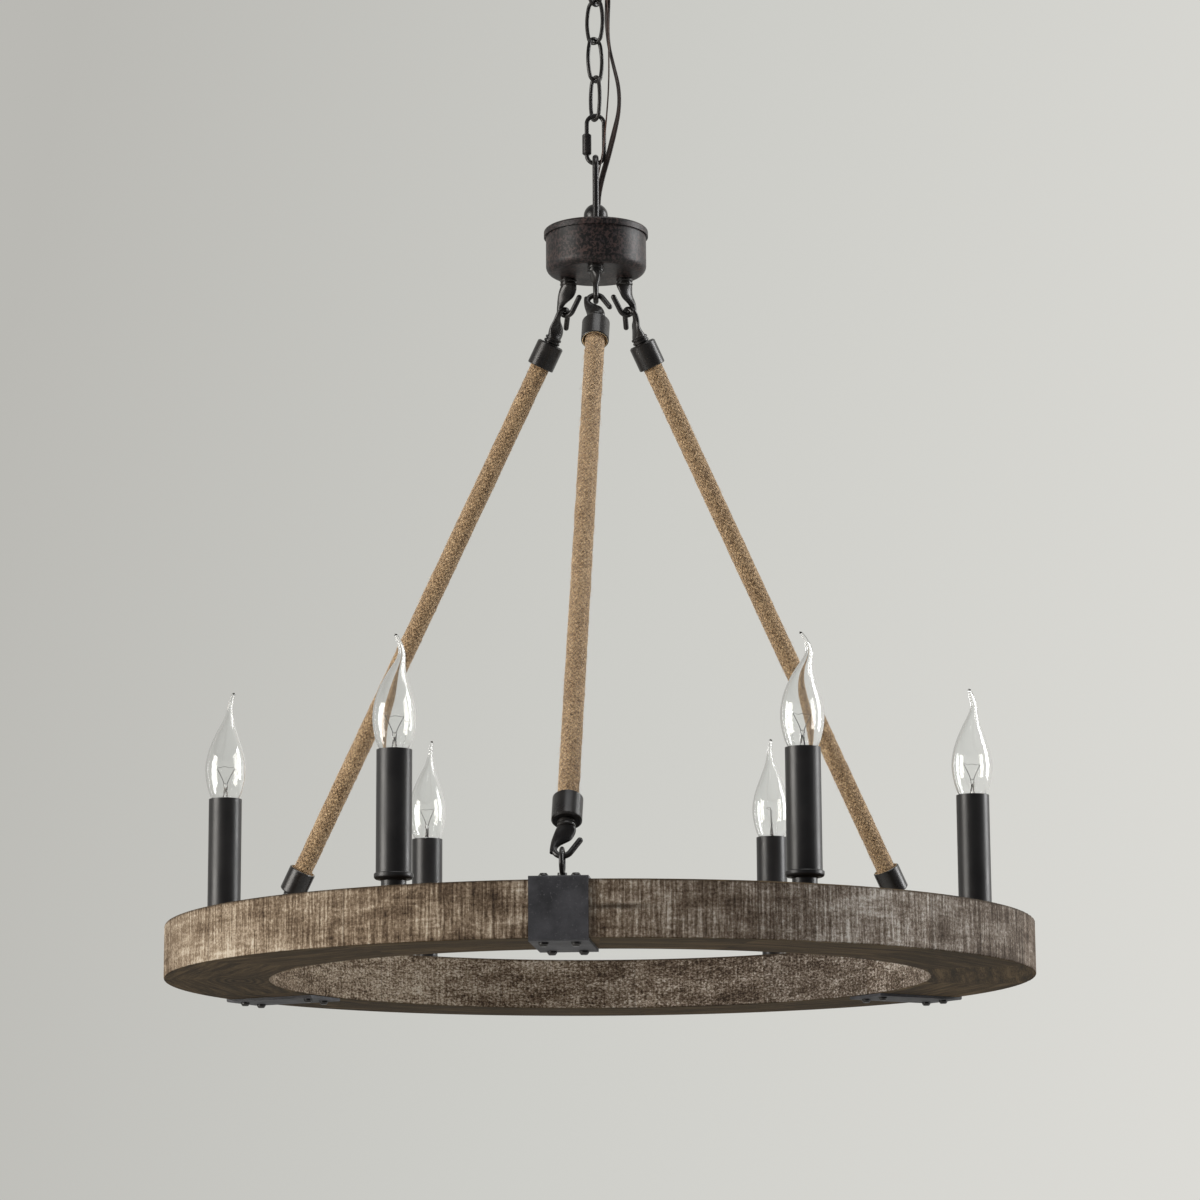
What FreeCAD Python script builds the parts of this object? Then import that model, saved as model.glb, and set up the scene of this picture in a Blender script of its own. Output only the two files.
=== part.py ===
"""Rope-hung wagon wheel chandelier with six candle lights.

Millimetres, +Z up.  The origin is the centre of the face that lies on the
ceiling; the viewer stands at -Y.  A bearing is the angle round the wheel in
degrees, 0 towards the viewer and growing towards the viewer's left.
"""
import FreeCAD, Part
import math
import os

import Sketcher
from FreeCAD import Placement, Rotation, Vector

SIZES = {
    # ceiling plate
    "canopy_diameter": 120, "canopy_depth": 26, "canopy_wall": 1.5, "canopy_shoulder": 9,
    "strap_gap": 8, "strap_width": 22, "strap_thickness": 2,
    "strap_screw_spacing": 88, "strap_screw_diameter": 4, "strap_screw_length": 24, "strap_screw_neck": 3.4,
    "strap_head_diameter": 8, "strap_head_height": 2.6,
    "nipple_diameter": 10, "nipple_bore": 7, "ring_nut_diameter": 24, "ring_nut_height": 5,
    "collar_diameter": 20.3, "collar_height": 12, "collar_edge": 3.4,
    # chain
    "loop_wire": 5.3, "loop_half_width": 9.6, "canopy_loop_drop": 20,
    "link_wire": 3.3, "link_length": 40.8, "link_width": 20, "link_end_radius": 6.8,
    "quick_wire": 3.6, "quick_length": 45.7, "quick_width": 18.1,
    "quick_gap": 4.5, "quick_gap_low": -9.5,
    "quick_nut_diameter": 7.7, "quick_nut_length": 18, "quick_nut_low": -13.3,
    # hub
    "loop_rise": 63.45, "ball_diameter": 20.3, "ball_height": 13, "ball_neck_diameter": 14,
    "cord_bore": 9, "cord_bore_depth": 9,
    "hub_diameter": 84, "hub_height": 38, "hub_wall": 1.4, "hub_edge": 7,
    "lid_diameter": 87.4, "lid_lip": 6, "lid_edge": 2,
    "stem_diameter": 10, "stem_end": 3, "stem_nut_width": 16, "stem_nut_height": 5,
    # cast hooks
    "hook_circle": 27.2, "hook_collar_diameter": 14, "hook_collar_height": 6.2,
    "hook_core_diameter": 12, "hook_ring_height": 2.4, "hook_ring_gap": 0.6,
    "hook_wire": 4.5, "hook_throat": 4.3, "hook_reach": 24.7, "hook_offset": 1.5,
    "hook_tip_length": 12.5, "hook_tip_flare": 31, "hook_stud_diameter": 5, "hook_stud_length": 8,
    "hook_nut_width": 9, "hook_nut_height": 4,
    # ropes
    "rope_diameter": 16, "ferrule_diameter": 22.8, "ferrule_length": 21.5, "ferrule_wall": 1.3,
    "ferrule_floor": 3.5, "ferrule_edge": 1.2, "ferrule_stud_depth": 3,
    # wheel
    "hub_over_wheel": 548.4, "wheel_radius": 350, "wheel_band": 84,
    "wheel_height": 42.5, "wheel_edge": 1.2,
    "hub_turn": 0.6, "front_bearing": 4.8, "left_bearing": 119.7, "right_bearing": -122.7,
    "bracket_width": 43.4, "bracket_thickness": 2.3, "bracket_bend": 1.6,
    "screw_edge_distance": 10, "screw_spacing": 23.6, "screw_diameter": 3.8, "screw_length": 15,
    "screw_head_diameter": 7.4, "screw_head_height": 3,
    "eye_offset": 12, "eye_diameter": 21, "eye_wire": 3.4, "eye_height": 16.4,
    "eye_neck_diameter": 7, "eye_shank_diameter": 4.4, "eye_shank_length": 30,
    # candles
    "candle_offset": -3.6, "candle_first_bearing": 30, "candle_top": 107,
    "cup_diameter": 29.6, "cup_flange": 4.7, "cup_height": 14.6, "cup_neck_diameter": 19,
    "cup_neck_flare": 1, "cup_lip": 0.6, "cup_recess": 1.6, "sleeve_diameter": 26.8, "sleeve_wall": 1,
    "lamp_stem_diameter": 10, "lamp_stem_depth": 12, "lamp_holder_diameter": 20,
    "lamp_holder_height": 34, "lamp_holder_depth": 8, "lamp_holder_taper": 4, "lamp_bore_depth": 25,
    "cap_diameter": 13.6, "cap_length": 24, "cap_depth": 30, "cap_fit": 0.3,
    "glass_stem_diameter": 3.2, "glass_stem_flare": 4.4, "glass_stem_height": 15,
    "bulb_diameter": 35, "bulb_height": 88, "bulb_glass": 0.9,
    # flex
    "flex_diameter": 4, "ground_diameter": 1.3,
    # clearances
    "chain_gap": 0.2, "open_gap": 0.35, "slide_fit": 0.1, "screw_fit": 0.1, "lid_fit": 0.2,
    "bend_gap": 0.1,
}

LINK_TURNS = {"chain_link_1": 50, "chain_link_2": -38, "chain_link_3": 46, "chain_link_4": -63}
CANOPY_LOOP_TURN = -70
HUB_LOOP_TURN = 90
SIDES = {"front": 0, "left": 120, "right": -120}
CANDLES = {
    "front_left": 0, "left": 60, "rear_left": 120,
    "rear_right": 180, "right": 240, "front_right": 300,
}
BULB_TURNS = {
    "front_left": 0, "left": 180, "rear_left": 120,
    "rear_right": 60, "right": 0, "front_right": 0,
}
X_AXIS, Y_AXIS, Z_AXIS = Vector(1, 0, 0), Vector(0, 1, 0), Vector(0, 0, 1)

doc = FreeCAD.newDocument("WagonWheelChandelier")


class Size:
    """A number together with the sheet formula that it comes from."""

    def __init__(self, number, formula=None):
        self.number = float(number)
        self.formula = formula or repr(self.number)

    def joined(self, other, number, sign, swap=False):
        left, right = (other, self) if swap else (self, other)
        return Size(number, f"({left.formula} {sign} {right.formula})")

    def __add__(self, other):
        other = as_size(other)
        return self.joined(other, self.number + other.number, "+")

    def __sub__(self, other):
        other = as_size(other)
        return self.joined(other, self.number - other.number, "-")

    def __mul__(self, other):
        other = as_size(other)
        return self.joined(other, self.number * other.number, "*")

    def __truediv__(self, other):
        other = as_size(other)
        return self.joined(other, self.number / other.number, "/")

    def __neg__(self):
        return Size(-self.number, f"(0 - {self.formula})")

    def __float__(self):
        return self.number


def as_size(value):
    return value if isinstance(value, Size) else Size(value)


ZERO = Size(0)


class Sheet:
    """The driving dimensions, each a cell with an alias."""

    def __init__(self, sizes):
        self.cells = doc.addObject("Spreadsheet::Sheet", "Sizes")
        for row, (alias, number) in enumerate(sizes.items(), start=1):
            self.cells.set(f"A{row}", alias)
            self.cells.set(f"B{row}", str(number))
            self.cells.setAlias(f"B{row}", alias)
        doc.recompute()

    def __getattr__(self, alias):
        return Size(self.cells.get(alias), f"Sizes.{alias}")


S = Sheet(SIZES)
nodes = []


# ---------------------------------------------------------------- sketch tools

def new_body(label):
    body = doc.addObject("PartDesign::Body", label)
    body.Label = label
    return body


def sketch_on(body, role, lift=None):
    """A sketch on one of the body's own origin planes, lifted along its normal."""
    sketch = body.newObject("Sketcher::SketchObject", f"{body.Label}_sketch")
    plane = next(item for item in body.Origin.OriginFeatures if item.Role == role)
    sketch.AttachmentSupport = (plane, [""])
    sketch.MapMode = "FlatFace"
    if lift is not None:
        sketch.AttachmentOffset = Placement(Vector(0, 0, lift.number), Rotation())
        sketch.setExpression("AttachmentOffset.Base.z", lift.formula)
    return sketch


def bind(sketch, kind, size, *where):
    index = sketch.addConstraint(Sketcher.Constraint(kind, *where, size.number))
    sketch.setExpression(f"Constraints[{index}]", size.formula)


def pin_point(sketch, geometry, point, x, y):
    """Hold a point at x, y from the sketch's origin."""
    for kind, size, axis in (("DistanceX", x, -2), ("DistanceY", y, -1)):
        if size.number == 0:
            sketch.addConstraint(Sketcher.Constraint("PointOnObject", geometry, point, axis))
        else:
            bind(sketch, kind, size, -1, 1, geometry, point)


def draw_outline(sketch, corners):
    """Closed outline.  A corner is (x, y) or, where an arc leaves it, (x, y, centre, turn)."""
    corners = [tuple(corner) for corner in corners]
    points = [Vector(float(as_size(c[0])), float(as_size(c[1])), 0) for c in corners]
    edges = []
    for index, corner in enumerate(corners):
        start, end = points[index], points[(index + 1) % len(points)]
        if len(corner) == 2:
            edges.append((sketch.addGeometry(Part.LineSegment(start, end), False), 1, 2))
            continue
        centre = Vector(float(corner[2][0]), float(corner[2][1]), 0)
        angles = [math.atan2(p.y - centre.y, p.x - centre.x) for p in (start, end)]
        if corner[3] == "cw":
            angles.reverse()
        circle = Part.Circle(centre, Z_AXIS, (start - centre).Length)
        added = sketch.addGeometry(Part.ArcOfCircle(circle, angles[0], angles[1]), False)
        edges.append((added, 2, 1) if corner[3] == "cw" else (added, 1, 2))
        chord = end - start
        kind = ("DistanceX", 0) if abs(chord.y) >= abs(chord.x) else ("DistanceY", 1)
        size = as_size(corner[2][kind[1]])
        if size.number == 0:
            axis = -2 if kind[1] == 0 else -1
            sketch.addConstraint(Sketcher.Constraint("PointOnObject", added, 3, axis))
        else:
            bind(sketch, kind[0], size, -1, 1, added, 3)
    for index, (geometry, first, last) in enumerate(edges):
        pin_point(sketch, geometry, first, as_size(corners[index][0]), as_size(corners[index][1]))
        following = edges[(index + 1) % len(edges)]
        sketch.addConstraint(
            Sketcher.Constraint("Coincident", geometry, last, following[0], following[1]))


def draw_circle(sketch, radius, x=ZERO, y=ZERO):
    centre = Vector(float(x), float(y), 0)
    circle = sketch.addGeometry(Part.Circle(centre, Z_AXIS, float(radius)), False)
    bind(sketch, "Radius", radius, circle)
    pin_point(sketch, circle, 3, as_size(x), as_size(y))


def draw_box(sketch, width, height):
    half_x, half_y = width / 2, height / 2
    draw_outline(sketch, [(-half_x, -half_y), (half_x, -half_y), (half_x, half_y), (-half_x, half_y)])


def draw_hexagon(sketch, across_flats):
    radius = across_flats / Size(math.sqrt(3))
    corners = []
    for step in range(6):
        angle = math.radians(60 * step + 30)
        corners.append((radius * round(math.cos(angle), 9), radius * round(math.sin(angle), 9)))
    draw_outline(sketch, corners)


def revolve(body, corners):
    """Turn a half section, drawn as radius and height, about the body's Z axis."""
    sketch = sketch_on(body, "XZ_Plane")
    draw_outline(sketch, corners)
    feature = body.newObject("PartDesign::Revolution", f"{body.Label}_turned")
    feature.Profile = sketch
    feature.ReferenceAxis = (sketch, ["V_Axis"])
    feature.Angle = 360
    body.Tip = feature
    return feature


def pad(body, sketch, length, down=False, both_ways=False):
    feature = body.newObject("PartDesign::Pad", f"{body.Label}_pad")
    feature.Profile = sketch
    feature.Length = float(length)
    feature.setExpression("Length", length.formula)
    feature.Reversed = down
    if both_ways:
        feature.SideType = "Symmetric"
    body.Tip = feature
    return feature


def pocket(body, sketch, depth, up=False, both_ways=False):
    """Cut a sketch downwards, upwards or both ways to a depth."""
    doc.recompute()
    before = body.Tip.Shape.Volume
    feature = body.newObject("PartDesign::Pocket", f"{body.Label}_pocket")
    feature.Profile = sketch
    feature.Length = float(depth)
    feature.setExpression("Length", depth.formula)
    feature.Reversed = up
    if both_ways:
        feature.SideType = "Symmetric"
    body.Tip = feature
    doc.recompute()
    if feature.Shape.isNull() or feature.Shape.Volume >= before:
        raise ValueError(f"{body.Label}: a pocket cuts nothing")
    return feature


def soften(body, kind, size, chosen):
    """Fillet or chamfer the edges of the body's tip that chosen() accepts."""
    doc.recompute()
    base = body.Tip
    names = [f"Edge{n}" for n, edge in enumerate(base.Shape.Edges, start=1) if chosen(edge)]
    feature = body.newObject(f"PartDesign::{kind}", f"{body.Label}_{kind.lower()}")
    feature.Base = (base, names)
    quantity = "Radius" if kind == "Fillet" else "Size"
    setattr(feature, quantity, float(size))
    feature.setExpression(quantity, size.formula)
    body.Tip = feature
    return feature


def is_ring(edge, radius, height):
    """Whether the edge is a circle of this radius at this height."""
    curve = edge.Curve
    if curve.TypeId != "Part::GeomCircle":
        return False
    return abs(curve.Radius - float(radius)) < 0.01 and abs(curve.Center.z - float(height)) < 0.01


def keep(item, placement=None):
    """Put a finished sub-part in its place and on the list to export."""
    if placement is not None:
        item.Placement = placement
    nodes.append(item)
    return item


def keep_shape(label, shape, placement=None):
    item = doc.addObject("Part::Feature", label)
    item.Label = label
    item.Shape = shape
    return keep(item, placement)


def keep_group(label, master, placements):
    """Several copies of one body as one node of separate solids."""
    doc.recompute()
    copies = []
    for placement in placements:
        copy = master.Shape.copy()
        copy.Placement = placement
        copies.append(copy)
    return keep_shape(label, Part.Compound(copies))


# ------------------------------------------------------------------ wire tools

def swept(path, wire):
    """A round wire of this diameter along a path."""
    edge = path.Edges[0]
    start = edge.valueAt(edge.FirstParameter)
    along = edge.tangentAt(edge.FirstParameter)
    section = Part.Wire([Part.Circle(start, along, float(wire) / 2).toShape()])
    return path.makePipeShell([section], True, False)


def polar(centre, radius, degrees):
    """A point in the XZ plane."""
    angle = math.radians(degrees)
    return centre + Vector(radius * math.cos(angle), 0, radius * math.sin(angle))


def arc(centre, radius, first, last):
    """An arc in the XZ plane between two angles."""
    angles = (first, (first + last) / 2, last)
    return Part.Arc(*[polar(centre, radius, angle) for angle in angles]).toShape()


def line(start, end):
    return Part.LineSegment(start, end).toShape()


def curved_link(length, width, end_radius):
    """Centre line of a chain link: two end arcs and two long bowed sides."""
    half, side = length / 2, width / 2
    end_centre = half - end_radius
    bow = (side ** 2 + end_centre ** 2 - end_radius ** 2) / (2 * (side - end_radius))
    meet = math.degrees(math.atan2(end_centre, bow - side))
    top, bottom = Vector(0, 0, end_centre), Vector(0, 0, -end_centre)
    left, right = Vector(bow - side, 0, 0), Vector(side - bow, 0, 0)
    return Part.Wire([
        arc(top, end_radius, meet, 180 - meet),
        arc(left, bow, 180 - meet, 180 + meet),
        arc(bottom, end_radius, 180 + meet, 360 - meet),
        arc(right, bow, -meet, meet),
    ])


def rounded_route(points):
    """Straight runs joined by the largest tangent arcs that the runs allow."""
    edges, radii, last = [], [], points[0]
    for before, corner, after in zip(points, points[1:], points[2:]):
        back, ahead = (before - corner), (after - corner)
        turn = math.pi - back.getAngle(ahead)
        radius = 0.45 * min(back.Length, ahead.Length) / math.tan(turn / 2)
        reach = radius * math.tan(turn / 2)
        back.normalize()
        ahead.normalize()
        first, final = corner + back * reach, corner + ahead * reach
        middle = (back + ahead).normalize()
        centre = corner + middle * (radius / math.cos(turn / 2))
        edges += [line(last, first), Part.Arc(first, centre - middle * radius, final).toShape()]
        radii.append(radius)
        last = final
    edges.append(line(last, points[-1]))
    return Part.Wire(edges), radii


# ------------------------------------------------------------------- positions

def bearing_vector(bearing):
    angle = math.radians(bearing)
    return Vector(-math.sin(angle), -math.cos(angle), 0)


def at_bearing(bearing, radius, height, turn=0):
    """Placement whose X axis points out from the wheel's axis at a bearing."""
    base = bearing_vector(bearing) * float(radius)
    base.z = float(height)
    return Placement(base, Rotation(Z_AXIS, -90 - bearing + turn))


def at_height(height, turn=0):
    return Placement(Vector(0, 0, float(height)), Rotation(Z_AXIS, turn))


nut_top = -S.canopy_depth
collar_top = nut_top - S.ring_nut_height
canopy_loop_bottom = collar_top - S.collar_height - S.canopy_loop_drop
link_rise = S.link_length - S.link_wire
link_tops = {}
carrier_wire = canopy_loop_bottom
carrier_size = S.loop_wire
for name in LINK_TURNS:
    link_tops[name] = carrier_wire + carrier_size / 2 + S.link_wire / 2 + S.chain_gap
    carrier_wire = link_tops[name] - link_rise
    carrier_size = S.link_wire
quick_rise = S.quick_length - S.quick_wire
quick_top = carrier_wire + S.link_wire / 2 + S.quick_wire / 2 + S.chain_gap
quick_bottom = quick_top - quick_rise
hub_loop_top = quick_bottom + S.quick_wire / 2 + S.loop_wire / 2 + S.chain_gap
lid_top = hub_loop_top - S.loop_rise
cup_top = lid_top - S.hub_wall
hub_bottom = lid_top - S.hub_height
wheel_top = hub_bottom - S.hub_over_wheel
wheel_inner_radius = S.wheel_radius - S.wheel_band
band_circle = wheel_inner_radius + S.wheel_band / 2
eye_circle = band_circle + S.eye_offset
candle_circle = band_circle + S.candle_offset
bearings = {
    "front": float(S.front_bearing), "left": float(S.left_bearing), "right": float(S.right_bearing)}


# --------------------------------------------------------------- ceiling parts

def ceiling_canopy():
    """Spun dish with a rounded shoulder, hung from the strap by the nipple."""
    body = new_body("ceiling_canopy")
    outer, inner = S.canopy_diameter / 2, S.canopy_diameter / 2 - S.canopy_wall
    bottom, floor = -S.canopy_depth, -S.canopy_depth + S.canopy_wall
    bend = outer - S.canopy_shoulder
    hole = S.nipple_diameter / 2 + S.screw_fit
    revolve(body, [
        (hole, bottom),
        (bend, bottom, (bend, bottom + S.canopy_shoulder), "ccw"),
        (outer, bottom + S.canopy_shoulder),
        (outer, ZERO),
        (inner, ZERO),
        (inner, bottom + S.canopy_shoulder, (bend, bottom + S.canopy_shoulder), "cw"),
        (bend, floor),
        (hole, floor),
    ])
    return keep(body)


def mounting_strap():
    """Crossbar screwed to the ceiling box, with a threaded hole for the nipple."""
    body = new_body("mounting_strap")
    sketch = sketch_on(body, "XY_Plane")
    draw_box(sketch, S.canopy_diameter - S.strap_gap * 2, S.strap_width)
    pad(body, sketch, S.strap_thickness, down=True)
    holes = sketch_on(body, "XY_Plane")
    draw_circle(holes, S.nipple_diameter / 2 + S.screw_fit)
    for side in (-1, 1):
        draw_circle(holes, S.strap_screw_diameter / 2 + S.screw_fit, S.strap_screw_spacing / 2 * side)
    pocket(body, holes, S.strap_thickness)
    return keep(body)


def mounting_screws():
    """Two screws through the strap into the ceiling box."""
    body = new_body("mounting_screw")
    shank, head = S.strap_screw_diameter / 2, S.strap_head_diameter / 2
    revolve(body, [
        (ZERO, -S.strap_head_height),
        (head * 0.7, -S.strap_head_height),
        (head, -S.strap_head_height * 0.5),
        (head, ZERO),
        (S.strap_screw_neck / 2, ZERO),
        (S.strap_screw_neck / 2, S.strap_thickness),
        (shank, S.strap_thickness),
        (shank, S.strap_screw_length - shank),
        (ZERO, S.strap_screw_length),
    ])
    spots = [Placement(Vector(float(S.strap_screw_spacing) / 2 * side, 0, -float(S.strap_thickness)),
                       Rotation()) for side in (-1, 1)]
    return keep_group("mounting_screws", body, spots)


def canopy_nipple():
    """Hollow threaded tube from the strap down into the loop's collar."""
    body = new_body("canopy_nipple")
    outer, bore = S.nipple_diameter / 2, S.nipple_bore / 2
    bottom = collar_top - S.collar_height / 2
    revolve(body, [(bore, bottom), (outer, bottom), (outer, ZERO), (bore, ZERO)])
    return keep(body)


def canopy_ring_nut():
    """Grip nut that holds the canopy up against the ceiling."""
    body = new_body("canopy_ring_nut")
    outer, bore = S.ring_nut_diameter / 2, S.nipple_diameter / 2 + S.screw_fit
    edge = S.ring_nut_height / 4
    revolve(body, [
        (bore, -S.ring_nut_height),
        (outer - edge, -S.ring_nut_height),
        (outer, -S.ring_nut_height + edge),
        (outer, -edge),
        (outer - edge, ZERO),
        (bore, ZERO),
    ])
    return keep(body, at_height(nut_top))


def eyelet(radius, wire, rise):
    """An arch of wire: a half turn about the origin with straight legs that rise from it."""
    centre = Vector(0, 0, 0)
    legs = float(rise)
    path = Part.Wire([
        line(Vector(-radius, 0, legs), Vector(-radius, 0, 0)),
        arc(centre, radius, 180, 360),
        line(Vector(radius, 0, 0), Vector(radius, 0, legs)),
    ])
    return swept(path, wire)


def canopy_loop():
    """Cast collar with a loop of wire below it and a bore for the flex."""
    radius, height = float(S.collar_diameter) / 2, float(S.collar_height)
    collar = Part.makeCylinder(radius, height, Vector(0, 0, -height))
    collar = collar.makeFillet(float(S.collar_edge), [e for e in collar.Edges if is_ring(e, radius, -height)])
    half_width = float(S.loop_half_width)
    leg = float(S.canopy_loop_drop) - half_width + height / 3
    arch = eyelet(half_width, S.loop_wire, leg)
    arch.translate(Vector(0, 0, -height - float(S.canopy_loop_drop) + half_width))
    shape = collar.fuse(arch)
    thread = Part.makeCylinder(
        float(S.nipple_diameter / 2 + S.screw_fit), height / 2, Vector(0, 0, -height / 2))
    flex_hole = Part.makeCylinder(float(S.cord_bore) / 2, height, Vector(0, 0, -height))
    shape = shape.cut(thread).cut(flex_hole).removeSplitter()
    return keep_shape("canopy_loop", shape, at_height(collar_top, CANOPY_LOOP_TURN))


# ----------------------------------------------------------------------- chain

def chain_link(name):
    """Oval link of round wire whose top wire lies at the node's height."""
    path = curved_link(
        float(link_rise), float(S.link_width - S.link_wire), float(S.link_end_radius))
    shape = swept(path, S.link_wire)
    return keep_shape(name, shape, at_height(link_tops[name] - link_rise / 2, LINK_TURNS[name]))


def quick_link():
    """Long link with a gap in its left side that the screw sleeve closes."""
    side, half = float(S.quick_width - S.quick_wire) / 2, float(quick_rise) / 2
    low, high = float(S.quick_gap_low), float(S.quick_gap_low + S.quick_gap)
    top, bottom = Vector(0, 0, half - side), Vector(0, 0, side - half)
    path = Part.Wire([
        line(Vector(-side, 0, high), Vector(-side, 0, half - side)),
        arc(top, side, 180, 0),
        line(Vector(side, 0, half - side), Vector(side, 0, side - half)),
        arc(bottom, side, 0, -180),
        line(Vector(-side, 0, side - half), Vector(-side, 0, low)),
    ])
    return keep_shape("quick_link", swept(path, S.quick_wire), at_height(quick_top - quick_rise / 2))


def quick_link_nut():
    """Screw sleeve on the gapped side, with hexagon flats and chamfered ends."""
    body = new_body("quick_link_nut")
    outer, bore = S.quick_nut_diameter / 2, S.quick_wire / 2 + S.slide_fit
    edge = outer / 4
    revolve(body, [
        (bore, ZERO),
        (outer - edge, ZERO),
        (outer, edge),
        (outer, S.quick_nut_length - edge),
        (outer - edge, S.quick_nut_length),
        (bore, S.quick_nut_length),
    ])
    base = Vector(-float(S.quick_width - S.quick_wire) / 2, 0,
                  float(quick_top - quick_rise / 2 + S.quick_nut_low))
    return keep(body, Placement(base, Rotation()))


# ------------------------------------------------------------------------- hub

def hub_loop():
    """Ball collar and tall loop in one casting, with the hollow stem under it."""
    ball, height = float(S.ball_diameter) / 2, float(S.ball_height)
    rise, half_width = float(S.loop_rise), float(S.loop_half_width)
    stem = float(S.stem_diameter) / 2
    reach = float(S.hub_wall + S.stem_nut_height + S.stem_end)
    shape = Part.makeSphere(ball, Vector(0, 0, height))
    shape = shape.fuse(Part.makeCylinder(float(S.ball_neck_diameter) / 2, height))
    shape = shape.fuse(Part.makeCylinder(stem, reach + height, Vector(0, 0, -reach)))
    legs = rise - half_width - float(S.loop_wire)
    arch = eyelet(half_width, S.loop_wire, legs)
    arch.rotate(Vector(0, 0, 0), X_AXIS, 180)
    arch.translate(Vector(0, 0, rise - half_width))
    shape = shape.fuse(arch)
    for side in (-1, 1):
        foot = Part.makeSphere(
            float(S.loop_wire) / 2, Vector(side * half_width, 0, float(S.loop_wire)))
        shape = shape.fuse(foot)
    bore_floor = height + ball - float(S.cord_bore_depth)
    shape = shape.cut(Part.makeCylinder(
        float(S.cord_bore) / 2, float(S.cord_bore_depth) + ball, Vector(0, 0, bore_floor)))
    return keep_shape("hub_loop", shape.removeSplitter(), at_height(lid_top, HUB_LOOP_TURN))


def hub_lid():
    """Pressed lid whose lip laps over the cup."""
    body = new_body("hub_lid")
    outer, inner = S.lid_diameter / 2, S.hub_diameter / 2 + S.lid_fit
    hole = S.stem_diameter / 2 + S.screw_fit
    revolve(body, [
        (hole, -S.hub_wall),
        (inner, -S.hub_wall),
        (inner, -S.lid_lip),
        (outer, -S.lid_lip),
        (outer, -S.lid_edge, (outer - S.lid_edge, -S.lid_edge), "ccw"),
        (outer - S.lid_edge, ZERO),
        (hole, ZERO),
    ])
    return keep(body, at_height(lid_top))


def hub_cup():
    """Drawn cup with a rounded lower edge and three holes for the hooks' studs."""
    body = new_body("hub_cup")
    outer, inner = S.hub_diameter / 2, S.hub_diameter / 2 - S.hub_wall
    bend, top = outer - S.hub_edge, S.hub_height - S.hub_wall
    revolve(body, [
        (ZERO, ZERO),
        (bend, ZERO, (bend, S.hub_edge), "ccw"),
        (outer, S.hub_edge),
        (outer, top),
        (inner, top),
        (inner, S.hub_edge, (bend, S.hub_edge), "cw"),
        (bend, S.hub_wall),
        (ZERO, S.hub_wall),
    ])
    holes = sketch_on(body, "XY_Plane")
    draw_circle(holes, S.hook_stud_diameter / 2 + S.screw_fit, S.hook_circle)
    cut = pocket(body, holes, S.hub_wall * 3, both_ways=True)
    pattern = body.newObject("PartDesign::PolarPattern", "hub_cup_pattern")
    pattern.Originals = [cut]
    pattern.Axis = (holes, ["N_Axis"])
    pattern.Angle = 360
    pattern.Occurrences = len(SIDES)
    body.Tip = pattern
    return keep(body, Placement(Vector(0, 0, float(hub_bottom)),
                                Rotation(Z_AXIS, -90 - float(S.hub_turn))))


def hexagon_nut(label, across, height, bore):
    body = new_body(label)
    sketch = sketch_on(body, "XY_Plane")
    draw_hexagon(sketch, across)
    pad(body, sketch, height)
    hole = sketch_on(body, "XY_Plane")
    draw_circle(hole, bore)
    pocket(body, hole, height, up=True)
    return body


def hub_nuts():
    nut = hexagon_nut("hook_nut", S.hook_nut_width, S.hook_nut_height,
                      S.hook_stud_diameter / 2 + S.screw_fit)
    seats = [at_bearing(float(S.hub_turn) + turn, S.hook_circle, hub_bottom + S.hub_wall)
             for turn in SIDES.values()]
    keep_group("hub_hook_nuts", nut, seats)
    stem_nut = hexagon_nut("hub_stem_nut", S.stem_nut_width, S.stem_nut_height,
                           S.stem_diameter / 2 + S.screw_fit)
    keep(stem_nut, at_height(lid_top - S.hub_wall - S.stem_nut_height))


# ----------------------------------------------------------------------- hooks

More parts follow.
